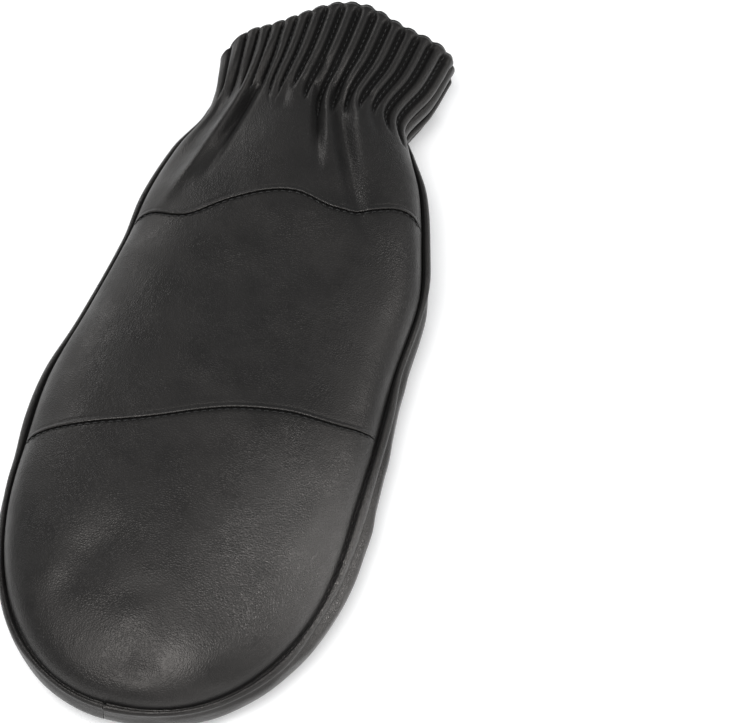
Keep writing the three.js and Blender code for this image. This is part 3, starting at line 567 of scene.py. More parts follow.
def quads_of(numbers):
    """The quads of a grid of vertex numbers."""
    a, b, c, d = numbers[:-1, :-1], numbers[:-1, 1:], numbers[1:, 1:], numbers[1:, :-1]
    return np.stack([a, b, c, d], -1).reshape(-1, 4)


def new_piece(name, points, faces, groove=None):
    """A smooth-shaded object from points in millimetres, without the faces that have closed up."""
    mesh = bpy.data.meshes.new(name)
    mesh.from_pydata(in_metres(points).tolist(), [], faces)
    if groove is not None:
        layer = mesh.attributes.new("groove", "FLOAT", "POINT")
        layer.data.foreach_set("value", np.asarray(groove, np.float32).ravel())
    piece = bpy.data.objects.new(name, mesh)
    bpy.context.scene.collection.objects.link(piece)
    edit = bmesh.new()
    edit.from_mesh(mesh)
    bmesh.ops.remove_doubles(edit, verts=edit.verts, dist=MERGE_DISTANCE)
    bmesh.ops.dissolve_degenerate(edit, edges=edit.edges, dist=FLAT_DISTANCE)
    bmesh.ops.recalc_face_normals(edit, faces=edit.faces)
    edit.to_mesh(mesh)
    edit.free()
    mesh.shade_smooth()
    mesh.set_sharp_from_angle(angle=math.radians(SHARP_ANGLE))
    return piece


def leather_wall(name, skin, inner, groove=None):
    """A closed piece of leather from the grid of its skin and the grid of its inner face."""
    count = skin.shape[0] * skin.shape[1]
    outside = np.arange(count).reshape(skin.shape[:2])
    inside = outside + count
    edges = []
    for rows in (slice(0, 1), slice(-1, None)):
        edges.append(np.concatenate([outside[rows], inside[rows]]))
    for columns in (slice(0, 1), slice(-1, None)):
        edges.append(np.concatenate([outside[:, columns], inside[:, columns]], 1))
    faces = [quads_of(outside), quads_of(inside)] + [quads_of(edge) for edge in edges]
    points = np.concatenate([skin.reshape(-1, 3), inner.reshape(-1, 3)])
    if groove is not None:
        groove = np.r_[groove.ravel(), np.zeros(count)]
    return new_piece(name, points, np.concatenate(faces).tolist(), groove=groove)


def dress(piece, node, slot):
    """The piece stands for a node of the model, moves with its body and gets its leather."""
    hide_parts(node)
    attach(piece, "root")
    piece.data.materials.append(LEATHERS[slot])
    print(piece.name, len(piece.data.polygons), "faces")


# %% [markdown]
# ## Black glove leather
# Glove leather is thin and soft, with a fine pebbled grain, a quiet satin sheen and slightly uneven dye. One
# could photograph a skin, but a procedural material needs no picture and has no seams. The grain is a cell
# pattern with its cells less than a millimetre wide, bent by noise so that no row shows, and its
# edges are the fine furrows between the pebbles, which get painted shade. Where the leather bends outwards
# its colour is paler, partly as wear and partly as a painted highlight, and it is smoother; in the creases it
# gets painted shade and is rougher with less shine: the surface's pointiness tells the two apart. The cuff is
# too finely folded for that, so its mesh carries a mark at each point, "groove", which is up to 1 in a
# groove, where shade is painted, and down to -1 on the edge of a rib that catches the light, where a
# highlight is painted. The fingertips touch everything, so a place there is polished brighter and shows its
# grain more.

# %% Helpers for materials
# Where the mix node keeps its sockets for colours, after those for numbers and vectors.
MIX_SOCKETS = {"share": 0, "first": 6, "second": 7}
MIXED_COLOUR = 2


class Nodes:
    """Adds shader nodes from left to right and links their sockets."""

    def __init__(self, name):
        self.material = bpy.data.materials.new(name)
        self.material.use_nodes = True
        self.tree = self.material.node_tree
        self.shader = self.tree.nodes["Principled BSDF"]
        self.place = self.add("ShaderNodeTexCoord").outputs["Object"]

    def add(self, kind, settings=None, **inputs):
        node = self.tree.nodes.new(kind)
        for name, value in (settings or {}).items():
            setattr(node, name, value)
        for name, value in inputs.items():
            self.feed(node.inputs[name.replace("_", " ")], value)
        return node

    def feed(self, socket, value):
        if isinstance(value, bpy.types.NodeSocket):
            self.tree.links.new(value, socket)
        else:
            socket.default_value = value

    def math(self, operation, *values):
        node = self.tree.nodes.new("ShaderNodeMath")
        node.operation = operation
        for socket, value in zip(node.inputs, values):
            self.feed(socket, value)
        return node.outputs[0]

    def noise(self, name, place=None):
        """One of the leather's noises, which are named in a table."""
        scale, detail = NOISES[name]
        node = self.add("ShaderNodeTexNoise", Vector=place or self.place, Scale=scale, Detail=detail)
        return node.outputs["Fac"]

    def span(self, value, from_low, from_high, to_low=0.0, to_high=1.0):
        """Stretches a range of a value to another range, and stays within it."""
        node = self.add("ShaderNodeMapRange", {"interpolation_type": "SMOOTHSTEP"}, Value=value,
                        From_Min=from_low, From_Max=from_high, To_Min=to_low, To_Max=to_high)
        return node.outputs["Result"]

    def mix_colour(self, share, first, second):
        node = self.tree.nodes.new("ShaderNodeMix")
        node.data_type = "RGBA"
        self.feed(node.inputs[MIX_SOCKETS["share"]], share)
        self.feed(node.inputs[MIX_SOCKETS["first"]], first)
        self.feed(node.inputs[MIX_SOCKETS["second"]], second)
        return node.outputs[MIXED_COLOUR]


# %% The leather
# How many cells or swells each pattern has in a metre, and how much detail its noise has.
PEBBLES_A_METRE = 1250
NOISES = {"bend": (420, 2.0), "fine grain": (3600, 3.0), "patches": (55, 3.0), "wrinkles": (520, 3.0),
          "surface_colour": (38, 4.0), "wear": (90, 3.0)}
# The noise moves the pebbles by up to this much, in metres.
BEND_REACH = (0.0009, 0.0009, 0.0009)
WRINKLES_TURN = (0, 0, math.radians(35))
WRINKLES_STRETCH = (1.0, 0.34, 1.0)
# Each finish is spread over a range of a noise, of the pointiness or of the groove mark.
RANGES = {
    "pebble": (0.0, 0.32), "furrow": (0.5, 0.0), "patches": (0.35, 0.65), "surface_colour": (0.38, 0.66),
    "wear": (0.3, 0.7), "creased": (0.485, 0.44), "in a groove": (0.15, 0.8), "wear_and_highlight": (0.515, 0.56),
    "lit edge": (-0.1, -0.8),
}
# The pebbles are this much stronger in a patch, and this strong everywhere.
PEBBLE_STRENGTH = (0.5, 0.6)
FINE_GRAIN_SHARE = 0.5
GRAIN_DEPTH = 0.00014
CREASE_DEPTH = 0.00022
DYE = (0.0062, 0.0061, 0.0061, 1)
DYE_THIN = (0.0095, 0.009, 0.0088, 1)
# Painted shade for the creases, the cuff's grooves and the grain's furrows.
PAINTED_SHADE = (0.0035, 0.0034, 0.0034, 1)
# Paler colour of convex edges: partly wear, partly a painted highlight.
WEAR_AND_HIGHLIGHT_COLOUR = (0.042, 0.04, 0.0385, 1)
# A painted highlight on the lit edges of the ribs.
PAINTED_EDGE_HIGHLIGHT = (0.26, 0.255, 0.25, 1)
# How much of the paler colour of worn and highlighted edges and of the painted shade in the furrows shows,
# and how the roughness changes.
WEAR_AND_HIGHLIGHT_SHARE = 0.6
FURROW_SHARE = 0.35
SMOOTHER = 0.05
ROUGHER = 0.07
ROUGHER_IN_CREASES = 0.2
SMOOTHER_WHERE_RUBBED = 0.12
# The polished place at the fingertips, in metres: it ends at the first reach, has its full shine within the
# second one and its full grain within the third.
RUBBED_AT = (0.048, -0.072, 0.02)
RUBBED_REACH = 0.052
POLISHED_REACH = 0.005
GRAINY_REACH = 0.02
SHINE = 0.41
SHINE_IN_CREASES = 0.12
SHINE_WHERE_RUBBED = 1.2
WRINKLES_ELSEWHERE = 0.45
GRAIN_ELSEWHERE = 0.4
HIGHLIGHT_TINT = (1.0, 0.95, 0.91, 1)
SHEEN = 0.02
SHEEN_ROUGHNESS = 0.5


def grain_of(nodes):
    """The pebbles, 0 in the furrows between them, and the height of the whole grain."""
    scale, detail = NOISES["bend"]
    bend = nodes.add("ShaderNodeTexNoise", Vector=nodes.place, Scale=scale, Detail=detail).outputs["Color"]
    bent = nodes.add("ShaderNodeVectorMath", {"operation": "MULTIPLY_ADD"})
    nodes.feed(bent.inputs[0], bend)
    nodes.feed(bent.inputs[1], BEND_REACH)
    nodes.feed(bent.inputs[2], nodes.place)
    cells = nodes.add("ShaderNodeTexVoronoi", {"feature": "DISTANCE_TO_EDGE"},
                      Vector=bent.outputs[0], Scale=PEBBLES_A_METRE)
    pebbles = nodes.span(cells.outputs["Distance"], *RANGES["pebble"])
    patches = nodes.span(nodes.noise("patches"), *RANGES["patches"])
    strength = nodes.math("MULTIPLY_ADD", patches, *PEBBLE_STRENGTH)
    fine = nodes.math("MULTIPLY", nodes.noise("fine grain"), FINE_GRAIN_SHARE)
    return pebbles, nodes.math("ADD", nodes.math("MULTIPLY", pebbles, strength), fine)


def colour_with_painted_light(nodes, pebbles, crease, wear_and_highlight, groove):
    """The surface's colour: uneven dye, paler on convex edges as wear and as a painted highlight, with a
    painted highlight on the ribs' lit edges and painted shade in the creases, grooves and furrows.
    """
    surface_colour = nodes.mix_colour(nodes.span(nodes.noise("surface_colour"), *RANGES["surface_colour"]), DYE, DYE_THIN)
    # Paler on convex edges, partly as wear and partly as a painted highlight.
    surface_colour = nodes.mix_colour(nodes.math("MULTIPLY", wear_and_highlight, WEAR_AND_HIGHLIGHT_SHARE), surface_colour, WEAR_AND_HIGHLIGHT_COLOUR)
    # A painted highlight on the lit edges of the ribs.
    surface_colour = nodes.mix_colour(nodes.span(groove, *RANGES["lit edge"]), surface_colour, PAINTED_EDGE_HIGHLIGHT)
    # Painted shade in the creases and grooves, and then in the grain's furrows.
    surface_colour = nodes.mix_colour(crease, surface_colour, PAINTED_SHADE)
    furrow = nodes.span(pebbles, *RANGES["furrow"], 0.0, FURROW_SHARE)
    return nodes.mix_colour(furrow, surface_colour, PAINTED_SHADE)


def roughness_of(nodes, roughness, crease, wear_and_highlight):
    wear = nodes.span(nodes.noise("wear"), *RANGES["wear"], roughness - SMOOTHER, roughness + ROUGHER)
    rough = nodes.math("ADD", wear, nodes.math("MULTIPLY", crease, ROUGHER_IN_CREASES))
    return nodes.math("SUBTRACT", rough, nodes.math("MULTIPLY", wear_and_highlight, SMOOTHER_WHERE_RUBBED))


def relief_of(nodes, grain, away):
    """The stretched wrinkles and the grain on them, both plainer away from the polished place."""
    stretch = nodes.add("ShaderNodeMapping", Vector=nodes.place, Rotation=WRINKLES_TURN,
                        Scale=WRINKLES_STRETCH)
    wrinkles = nodes.noise("wrinkles", stretch.outputs["Vector"])
    streaks = nodes.span(away, RUBBED_REACH, GRAINY_REACH, WRINKLES_ELSEWHERE, 1.0)
    soft = nodes.add("ShaderNodeBump", Strength=streaks, Distance=CREASE_DEPTH, Height=wrinkles)
    pebbling = nodes.span(away, RUBBED_REACH, GRAINY_REACH, GRAIN_ELSEWHERE, 1.0)
    bump = nodes.add("ShaderNodeBump", Strength=pebbling, Distance=GRAIN_DEPTH, Height=grain,
                     Normal=soft.outputs["Normal"])
    return bump.outputs["Normal"]


def glove_leather(name, roughness):
    nodes = Nodes(name)
    pebbles, grain = grain_of(nodes)
    pointiness = nodes.add("ShaderNodeNewGeometry").outputs["Pointiness"]
    groove = nodes.add("ShaderNodeAttribute", {"attribute_name": "groove"}).outputs["Fac"]
    # Creases and grooves get painted shade in their colour, more roughness and less shine.
    crease = nodes.math("MAXIMUM", nodes.span(pointiness, *RANGES["creased"]),
                        nodes.span(groove, *RANGES["in a groove"]))
    # Convex places are paler, partly worn and partly with a painted highlight, and smoother.
    wear_and_highlight = nodes.span(pointiness, *RANGES["wear_and_highlight"])
    from_rubbed = nodes.add("ShaderNodeVectorMath", {"operation": "DISTANCE"})
    nodes.feed(from_rubbed.inputs[0], nodes.place)
    nodes.feed(from_rubbed.inputs[1], RUBBED_AT)
    away = from_rubbed.outputs["Value"]
    shine = nodes.span(away, RUBBED_REACH, POLISHED_REACH, SHINE, SHINE_WHERE_RUBBED)
    shine = nodes.math("MULTIPLY", shine, nodes.span(crease, 0.0, 1.0, 1.0, SHINE_IN_CREASES / SHINE))
    finish = {
        "Base Color": colour_with_painted_light(nodes, pebbles, crease, wear_and_highlight, groove),
        "Roughness": roughness_of(nodes, roughness, crease, wear_and_highlight),
        "Specular IOR Level": shine,
        "Normal": relief_of(nodes, grain, away),
        "Specular Tint": HIGHLIGHT_TINT,
        "Sheen Weight": SHEEN,
        "Sheen Roughness": SHEEN_ROUGHNESS,
    }
    for socket, value in finish.items():
        nodes.feed(nodes.shader.inputs[socket], value)
    return nodes.material


LEATHERS = {"back_leather": glove_leather("back_glove_leather", roughness=0.44),
            "band_leather": glove_leather("band_glove_leather", roughness=0.4),
            "palm_leather": glove_leather("palm_glove_leather", roughness=0.48)}
print("leathers:", ", ".join(LEATHERS))

# %% [markdown]
# ## The back's three pieces
# We could cut one surface along the seams, but a piece that has a grid of its own gets clean rows that
# follow its seam. The tip piece is ruled between the round outline and the lower seam, and the middle piece
# is a plain grid between the two seams. Each has a few extra rows that turn down into the creases round it,
# so that no gap shows between the piece and its neighbours.

# %% Turned edges
CROSS_GAP = 0.45
HALF_GAP = CROSS_GAP / 2 / HAND_LENGTH
UPWARDS = np.array([0.0, 1.0])
RIGHTWARDS = np.array([1.0, 0.0])
INNER_ALONG = 0.02
INNER_ACROSS = 0.7
# Each turned edge: how far inwards and how far down its rows lie, in millimetres.
CREASE_TURN = [(0.1, 0.5), (0.5, 1.2), (1.1, 1.9)]
LAP_TURN = [(-0.05, 0.45), (0.25, 0.85), (0.9, 1.1)]
TUCKED_TURN = [(0.35, 0.5), (1.0, 0.9)]


def towards_middle(points, at, across):
    """Unit steps from an outline point towards the middle of the hand, in the plan."""
    inner = plan_point(np.maximum(at, ROUND_FROM) + INNER_ALONG, across * INNER_ACROSS)
    step = inner - points[..., :2]
    return step / np.linalg.norm(step, axis=-1, keepdims=True)


def turned(row, step, turns):
    """Rows that leave an edge: each is moved so far along the step and so far down."""
    rows = []
    for inwards, down in turns:
        moved = row.copy()
        moved[..., :2] += step * inwards
        moved[..., 2] -= down
        rows.append(moved)
    return rows


print("gap under a cross seam in mm:", CROSS_GAP)


# %% The tip piece
# Rows and columns of the grids; a first row beside a seam is this share of a plain row high.
SEAM_ROW = 0.12
TIP_COLUMNS = 230
TIP_ROWS = 100


def ruled_tip(surface, columns, rows, line_at, inset, crowding=1.7):
    """Rows from the line across the hand out to the outline round the fingertips."""
    across = -np.cos(math.pi * columns)
    near = plan_point(line_at(across), across, inset)
    far = outline_path(float(line_at(-1)), float(line_at(1)), inset)(columns)
    share = (1 - (1 - rows) ** crowding)[:, None, None]
    points = blend(near[None], far[None], share)
    return surface(points[..., 0], points[..., 1] / HAND_LENGTH, points[..., 1], inset)


def tip_line(across):
    return lower_seam_at(across) - HALF_GAP


def tip_grid(inset):
    columns, rows = steps(TIP_COLUMNS), graded(TIP_ROWS, SEAM_ROW)
    grid = ruled_tip(back_surface, columns, rows, tip_line, inset)
    tucked = turned(grid[0], UPWARDS, TUCKED_TURN)
    outline = grid[-1]
    step = towards_middle(outline, outline[:, 1] / HAND_LENGTH, -np.cos(math.pi * columns))
    creased = turned(outline, step, CREASE_TURN)
    return np.concatenate([tucked[::-1], grid, creased])


dress(leather_wall("back_tip_leather", tip_grid(0.0), tip_grid(LEATHER_WALL)), "back_tip", "back_leather")


# %% The middle piece
MIDDLE_ROWS = 120
MIDDLE_COLUMNS = 200


def with_turned_sides(grid):
    """Adds columns that turn down at the left and right edges."""
    left = turned(grid[:, 0], RIGHTWARDS, CREASE_TURN)
    right = turned(grid[:, -1], -RIGHTWARDS, CREASE_TURN)
    return np.concatenate([np.stack(left[::-1], 1), grid, np.stack(right, 1)], 1)


def middle_grid(inset):
    across = crowded(MIDDLE_COLUMNS)
    shares = graded(MIDDLE_ROWS, SEAM_ROW, SEAM_ROW)[:, None]
    at = blend(lower_seam_at(across) + HALF_GAP, upper_seam_at(across) - HALF_GAP, shares)
    grid = on_surface(back_surface, at, across, inset)
    lapped = turned(grid[0], UPWARDS, LAP_TURN)
    tucked = turned(grid[-1], UPWARDS, TUCKED_TURN)
    return with_turned_sides(np.concatenate([lapped[::-1], grid, tucked]))


dress(leather_wall("back_middle_leather", middle_grid(0.0), middle_grid(LEATHER_WALL)),
      "back_middle", "back_leather")

# %% [markdown]
# ## The ribbed cuff
# The leather of the back runs on into the cuff, where cord is sewn in between two layers: each rib is a roll
# between two stitched grooves. We could push the ribs in with a texture, but they show in the outline, so
# they are real relief: the skin is drawn in at each groove by the shape of a half circle. The grooves end
# one by one in the folds of the wrist, and at the open end the leather turns round the cords.

# %% Ribs
RIBS = 17
RIB_DEPTH = 1.9
# A groove reaches its full depth over this length, in millimetres.
RIB_FADE = 11.0
# The share of its pitch that a rib fills, on the left and on the right, and where the one becomes the other.
RIB_BREADTH = {"left": 0.84, "right": 0.6}
BREADTH_CHANGES = (0.3, 0.6)
# Each stitch pulls its groove in: how far and how sharply, and how far the next groove's waves are shifted.
RIB_PUCKER = 0.14
PUCKER_SHARPNESS = 3
PUCKER_SHIFT = 3
# Places across are shares of the way over the back, from the left crease to the right one.
GROOVE_ENDS = [(0, 0.98), (0.2, 0.982), (0.33, 0.99), (0.385, 0.96), (0.43, 0.998), (0.52, 0.985),
               (0.61, 0.957), (0.665, 0.975), (0.74, 0.976), (0.79, 0.988), (0.86, 0.972), (0.9, 0.956),
               (1, 0.94)]
RIB_SHIFTS = [(0, 0), (0.1, 0.035), (0.25, 0.005), (0.45, -0.042), (0.65, -0.042), (0.9, -0.036), (1, 0)]
# At the open end the grooves get shallower, the leather turns in and the edge is scalloped, each from its
# own place on.
RIM_SHALLOWING = 0.7
SHALLOWING_FROM = 1.88
RIM_TURN_SHARE = 0.6
RIM_TURN = RIM_TURN_SHARE * (CUFF_WALL - RIB_DEPTH)
TURN_FROM = 1.95
SCALLOP_DEPTH = 0.5
SCALLOPS_FROM = 1.8
RIM_ROWS = 7
RIM_ROUNDNESS = 0.7
LENGTH_STEPS = 400
# A place this near to where the next rib starts belongs to that rib.
SAME_RIB = 1e-9

groove_end_at = smooth_curve(*zip(*GROOVE_ENDS))
rib_shift_at = smooth_curve(*zip(*RIB_SHIFTS))


def groove_share(at, share):
    """0 where a groove starts and 1 where it has its full depth; it deepens fast and then slowly."""
    past = np.clip((along(at, 0) - groove_end_at(share) * HAND_LENGTH) / RIB_FADE, 0, 1)
    return past * (2 - past) * (1 - RIM_SHALLOWING * ease(at, SHALLOWING_FROM, 2))


def roll(place, full, breadth):
    """The height of a rib over its pitch: a round cord with a flat, stitched strip on either side."""
    return rounded_off((2 * place - 1) / blend(1, breadth, full), 2)


def place_in_rib(share):
    return share * RIBS - np.floor(share * RIBS + SAME_RIB)


def rib_roll(share, full):
    breadth = blend(RIB_BREADTH["left"], RIB_BREADTH["right"], ease(share, *BREADTH_CHANGES))
    return roll(place_in_rib(share), full, breadth)


def drawn_in(at, share):
    """How far the skin is drawn in between the ribs, in millimetres."""
    full = groove_share(at, share)
    low = 1 - rib_roll(share, full)
    turn = 2 * math.pi * along(at, 0) / STITCH_PITCH + PUCKER_SHIFT * np.floor(share * RIBS)
    pucker = RIB_PUCKER * np.sin(turn) * low ** PUCKER_SHARPNESS
    return full * (RIB_DEPTH * low - pucker)


def turned_in(at):
    return RIM_TURN * ease(at, TURN_FROM, 2) ** 2


def scallop(at):
    return SCALLOP_DEPTH * ease(at, SCALLOPS_FROM, 2)


def even_across(surface, at, shares):
    """Shares across a section that are evenly spaced along its curve, as the ribs are."""
    fine = crowded(LENGTH_STEPS)
    curve = on_surface(surface, at, fine)
    lengths = np.r_[0, np.cumsum(np.hypot(np.diff(curve[:, 0]), np.diff(curve[:, 2])))]
    return np.interp(shares * lengths[-1], lengths, fine)


def plain_back(x, at, y, inset=0.0):
    """The back without its folds, which spaces the ribs and says which way is outwards, at any inset."""
    across, outwards = place_in_plan(x, at, inset)
    crown = crown_height(at) * rounded_off(outwards, CROWN_SQUARENESS)
    return np.stack([x, y, crease_height(at, across) + crown], -1)


def back_spacing(at, shares):
    return even_across(plain_back, at, shares + rib_shift_at(shares))


def ribbed_row(surface, plain, spacing, at, shares, facing, inset):
    """A row of the cuff, with the skin drawn in at the grooves, at right angles to the plain surface."""
    across = spacing(at, shares)
    row = on_surface(surface, at, across, inset)
    change = np.gradient(on_surface(plain, at, across, inset)[:, [0, 2]], axis=0)
    outwards = np.stack([-change[:, 1], np.zeros_like(across), change[:, 0]], 1)
    outwards /= np.linalg.norm(outwards, axis=1, keepdims=True)
    outwards[0] = (-facing, 0, 0)
    outwards[-1] = (facing, 0, 0)
    if inset == 0:
        drawn = drawn_in(at, shares) + turned_in(at)
        row = row - facing * outwards * drawn[:, None]
    row[:, 1] -= scallop(at) * (1 - rib_roll(shares, 1))
    row[:, 2] = np.maximum(row[:, 2], 0)
    return row


def rim_rows(skin, inner):
    """Rows that round the leather over from the skin to the inner face at the open end."""
    middle, half = (skin + inner) / 2, (skin - inner) / 2
    thickness = np.linalg.norm(half[:, [0, 2]], axis=1)
    rows = []
    for angle in np.linspace(0, math.pi / 2, RIM_ROWS + 1)[1:]:
        row = middle + half * math.cos(angle)
        row[:, 1] += RIM_ROUNDNESS * thickness * math.sin(angle)
        rows.append(row)
    return np.array(rows)


print("ribs over the back:", RIBS, "with grooves", RIB_DEPTH, "mm deep")

# %% The wrist and cuff of the back
# The cuff's rows, each run from one place along to another in so many steps.
CUFF_START = 0.955
CUFF_RUNS = [(CUFF_START, 1, 18), (1, 1.86, 60), (1.86, 2, 14)]
CUFF_PLACES = np.concatenate([[CUFF_START]] + [blend(start, end, steps(count)[1:])
                                               for start, end, count in CUFF_RUNS])
WRIST_ROWS = 64
POINTS_PER_RIB = 14
RIB_SHARES = steps(RIBS * POINTS_PER_RIB)
# The edge of a rib that catches the light gets a painted highlight: its place in the rib, its width, and
# where such edges end.
LIT_EDGE = 0.17
LIT_WIDTH = 0.06
LIT_UNTIL = (0.3, 0.55)


def cuff_rows(surface, plain, spacing, shares, facing, inset):
    """The ribbed rows of a skin, or the plain ones of an inner face where the inset isn't 0."""
    return [ribbed_row(surface, plain, spacing, at, shares, facing, inset and float(wall_at(at)))
            for at in CUFF_PLACES]


def wrist_grid(inset):
    rows = []
    for share in graded(WRIST_ROWS, SEAM_ROW)[:-1]:
        across = back_spacing(blend(float(upper_seam_at(0)), CUFF_START, share), RIB_SHARES)
        at = blend(upper_seam_at(across) + HALF_GAP, CUFF_START, share)
        rows.append(on_surface(back_surface, at, across, inset))
    lapped = turned(rows[0], UPWARDS, LAP_TURN)
    return np.concatenate([lapped[::-1], rows,
                           cuff_rows(back_surface, plain_back, back_spacing, RIB_SHARES, 1, inset)])


def groove_marks(skin, shares):
    """Marks at each point of a finished skin: up to 1 in a groove for painted shade, down to -1 on a lit edge
    for a painted highlight.
    """
    low = 1 - rib_roll(shares, 1)
    lit = bell(place_in_rib(shares) - LIT_EDGE, LIT_WIDTH) * (1 - ease(shares, *LIT_UNTIL))
    cuff = np.array([groove_share(at, shares) * (low - lit)
                     for at in np.r_[CUFF_PLACES, [2.0] * RIM_ROWS]])
    sides = (skin.shape[1] - len(shares)) // 2
    marks = np.zeros(skin.shape[:2])
    marks[-len(cuff):, sides:sides + len(shares)] = cuff
    return marks


def rounded_rim(skin, inner):
    """Both grids with the rows that close the open end of the cuff in a round."""
    outer_rows = rim_rows(skin[-1], inner[-1])
    inner_rows = rim_rows(inner[-1], skin[-1])
    return np.concatenate([skin, outer_rows]), np.concatenate([inner, inner_rows])


wrist_skin = wrist_grid(0.0)
skin, inner = rounded_rim(with_turned_sides(wrist_skin), with_turned_sides(wrist_grid(LEATHER_WALL)))
marks = groove_marks(skin, RIB_SHARES)
dress(leather_wall("back_wrist_leather", skin, inner, marks), "back_wrist", "back_leather")

# %% [markdown]
# ## The side band
# Two strips of leather run round the hand between the back and the palm. Each one starts at a join at the
# fingertips. Its top edge is rolled into a bead beside the deep crease of the back, below the bead it is
# drawn in, and its belly bulges out. A curve with a bevel would sweep one fixed profile, but soft leather
# swells and shrinks, so we sweep a table of shares along the outline and change its sizes on the way.
# Beside the cuff the band flattens into one more rib.

# %% The band's profile
BEAD = 1.0
BEAD_GROWTH = 0.35
BAND_FLATTENS = (0.9, 1.06)
# The join is this share of the way round the fingertips. Its inner edges lie closer together than its outer
# ones, by twice the tuck. Seen from above, a small bright tick still shows in it.
BAND_JOIN = 0.48
JOIN_TUCK = 0.13
# How far round the strip the point lies, then shares of the bead's size (out and up), of the bulge and of
# the band's height.
PROFILE_COLUMNS = "place bead up bulge down".split()
PROFILE_ROWS = [
    (0.00, 0.32, 0.00, 0.00, 0.00),
    (0.05, 0.75, 0.90, 0.00, 0.00),
    (0.13, 1.45, 0.85, 0.00, 0.00),
    (0.22, 2.00, 0.00, 0.00, 0.00),
    (0.33, 1.60, 0.00, 0.00, 0.13),
    (0.50, 0.00, 0.00, 0.96, 0.32),
    (0.68, 0.00, 0.00, 1.00, 0.56),
    (0.84, 0.00, 0.00, 0.82, 0.80),
    (0.94, 0.00, 0.00, 0.45, 0.95),
    (1.00, 0.00, 0.00, 0.00, 1.00),
]
PROFILE = dict(zip(PROFILE_COLUMNS, np.array(PROFILE_ROWS).T))
BEAD_UNTIL = 0.3
BEAD_POINTS = 20
BELLY_POINTS = 24
PROFILE_PLACES = np.r_[blend(0, BEAD_UNTIL, steps(BEAD_POINTS)),
                       blend(BEAD_UNTIL, 1, steps(BELLY_POINTS)[1:])]
# The strip's turned edges: how far inwards, and how far down at the top or up at the foot.
TOP_TURN = [(-0.3, 1.2), (0.0, 0.5)]
FOOT_TURN = [(0.5, 0.25), (1.2, 0.3)]
TIP_STATIONS = 250
SIDE_STATIONS = 140


def band_stations(side):
    """Places, shares across and outward directions from the join at the fingertips to the open end."""
    # Round the fingertips the outline runs from 0 on the left to 1 on the right.
    round_tip = outline_path(ROUND_FROM, ROUND_FROM)(blend(BAND_JOIN, max(side, 0), steps(TIP_STATIONS)))
    straight = np.r_[blend(ROUND_FROM, CUFF_START, steps(SIDE_STATIONS)[1:]), CUFF_PLACES[1:]]
    plan = np.concatenate([round_tip, plan_point(straight, side)])
    at = np.r_[round_tip[:, 1] / HAND_LENGTH, straight]
    across = np.r_[place_in_plan(round_tip[:, 0], at[:len(round_tip)])[0], np.full(len(straight), side)]
    run = np.gradient(plan, axis=0)
    run /= np.linalg.norm(run, axis=1, keepdims=True)
    outwards = side * np.stack([run[:, 1], -run[:, 0]], 1)
    plan[0, 0] += side * SEAM_GAP / 2
    return plan, at, across, outwards


def flattened(at):
    return ease(at, *BAND_FLATTENS)


def bulge_at(at, across):
    return left_to_right(left_bulge(at), right_bulge(at), across)


def band_points(stations, out, down, up, back=0.0):
    """Points so far out from the crease, a share of the band's height down, so far up and so far back."""
    plan, at, across, outwards = (part[:, None] for part in stations)
    spot = plan + outwards * out[..., None]
    beside = at + (spot[..., 1] - plan[..., 1]) / HAND_LENGTH
    height = crease_height(beside, across) - down * band_height_at(beside) + up
    return np.stack([spot[..., 0], spot[..., 1] - back, height], -1)


print("points round the band:", len(PROFILE_PLACES))


# %% The band's two strips
# The bead swells and the belly ripples: the share or height, the size and the seed of their clouds. Each
# strip takes its own part of the clouds, and the belly's profile is spread over some millimetres of its one.
BEAD_CLOUD = (0.24, 19, 11)
BELLY_CLOUD = (0.3, 9, 17)
CLOUD_SHIFT = 40
BELLY_SPREAD = 30
INNER_BULGE = 0.6


def band_skin(side, stations):
    plan, at, across, outwards = stations
    along_path = np.r_[0, np.cumsum(np.linalg.norm(np.diff(plan, axis=0), axis=1))]
    place = PROFILE_PLACES[None]
    ribbed = flattened(at)[:, None]
    low = 1 - roll(place, 1, RIB_BREADTH["left"])
    bead, up, bulge, down = (smooth_curve(PROFILE["place"], PROFILE[name])(place)
                             for name in ("bead", "up", "bulge", "down"))
    bulges = bulge_at(at, across)[:, None]
    most, size, seed = BEAD_CLOUD
    shift = CLOUD_SHIFT * side
    swell = BEAD * (1 + BEAD_GROWTH * bulges / BAND_BULGE)
    swell *= 1 + most * cloud(along_path, np.full_like(along_path, shift), size, seed)[:, None]
    most, size, seed = BELLY_CLOUD
    ripple = most * cloud(along_path[:, None] + shift, BELLY_SPREAD * place, size, seed)
    ripple = ripple * np.sin(math.pi * place)
    out = blend(bead * swell + bulge * (bulges + ripple), 0, ribbed)
    drawn = (RIB_DEPTH * groove_share(at, 0) + turned_in(at))[:, None] * low
    down = blend(down, place, ribbed)
    up = up * swell * (1 - ribbed)
    grid = band_points(stations, out - drawn, down, up, scallop(at)[:, None] * low)
    inwards = -outwards
    top = turned(grid[:, 0], inwards, TOP_TURN[::-1])
    foot = turned(grid[:, -1], inwards, [(step, -rise) for step, rise in FOOT_TURN])
    return np.concatenate([np.stack(top[::-1], 1), grid, np.stack(foot, 1)], 1)


def band_inner(side, stations):
    """The inner face, with as many columns as the skin and its turned edges have."""
    at, across = stations[1:3]
    columns = len(TOP_TURN) + len(PROFILE_PLACES) + len(FOOT_TURN)
    share = steps(columns - 1)[None]
    bulge = (bulge_at(at, across) * (1 - flattened(at)))[:, None]
    out = INNER_BULGE * bulge * np.sin(math.pi * share) - wall_at(at)[:, None]
    grid = band_points(stations, out, share, 0 * share)
    grid[0, :, 0] -= side * JOIN_TUCK
    return grid


for side, node in ((-1, "band_outer"), (1, "band_thumb")):
    stations = band_stations(side)
    skin, inner = rounded_rim(band_skin(side, stations), band_inner(side, stations))
    dress(leather_wall(node + "_leather", skin, inner), node, "band_leather")

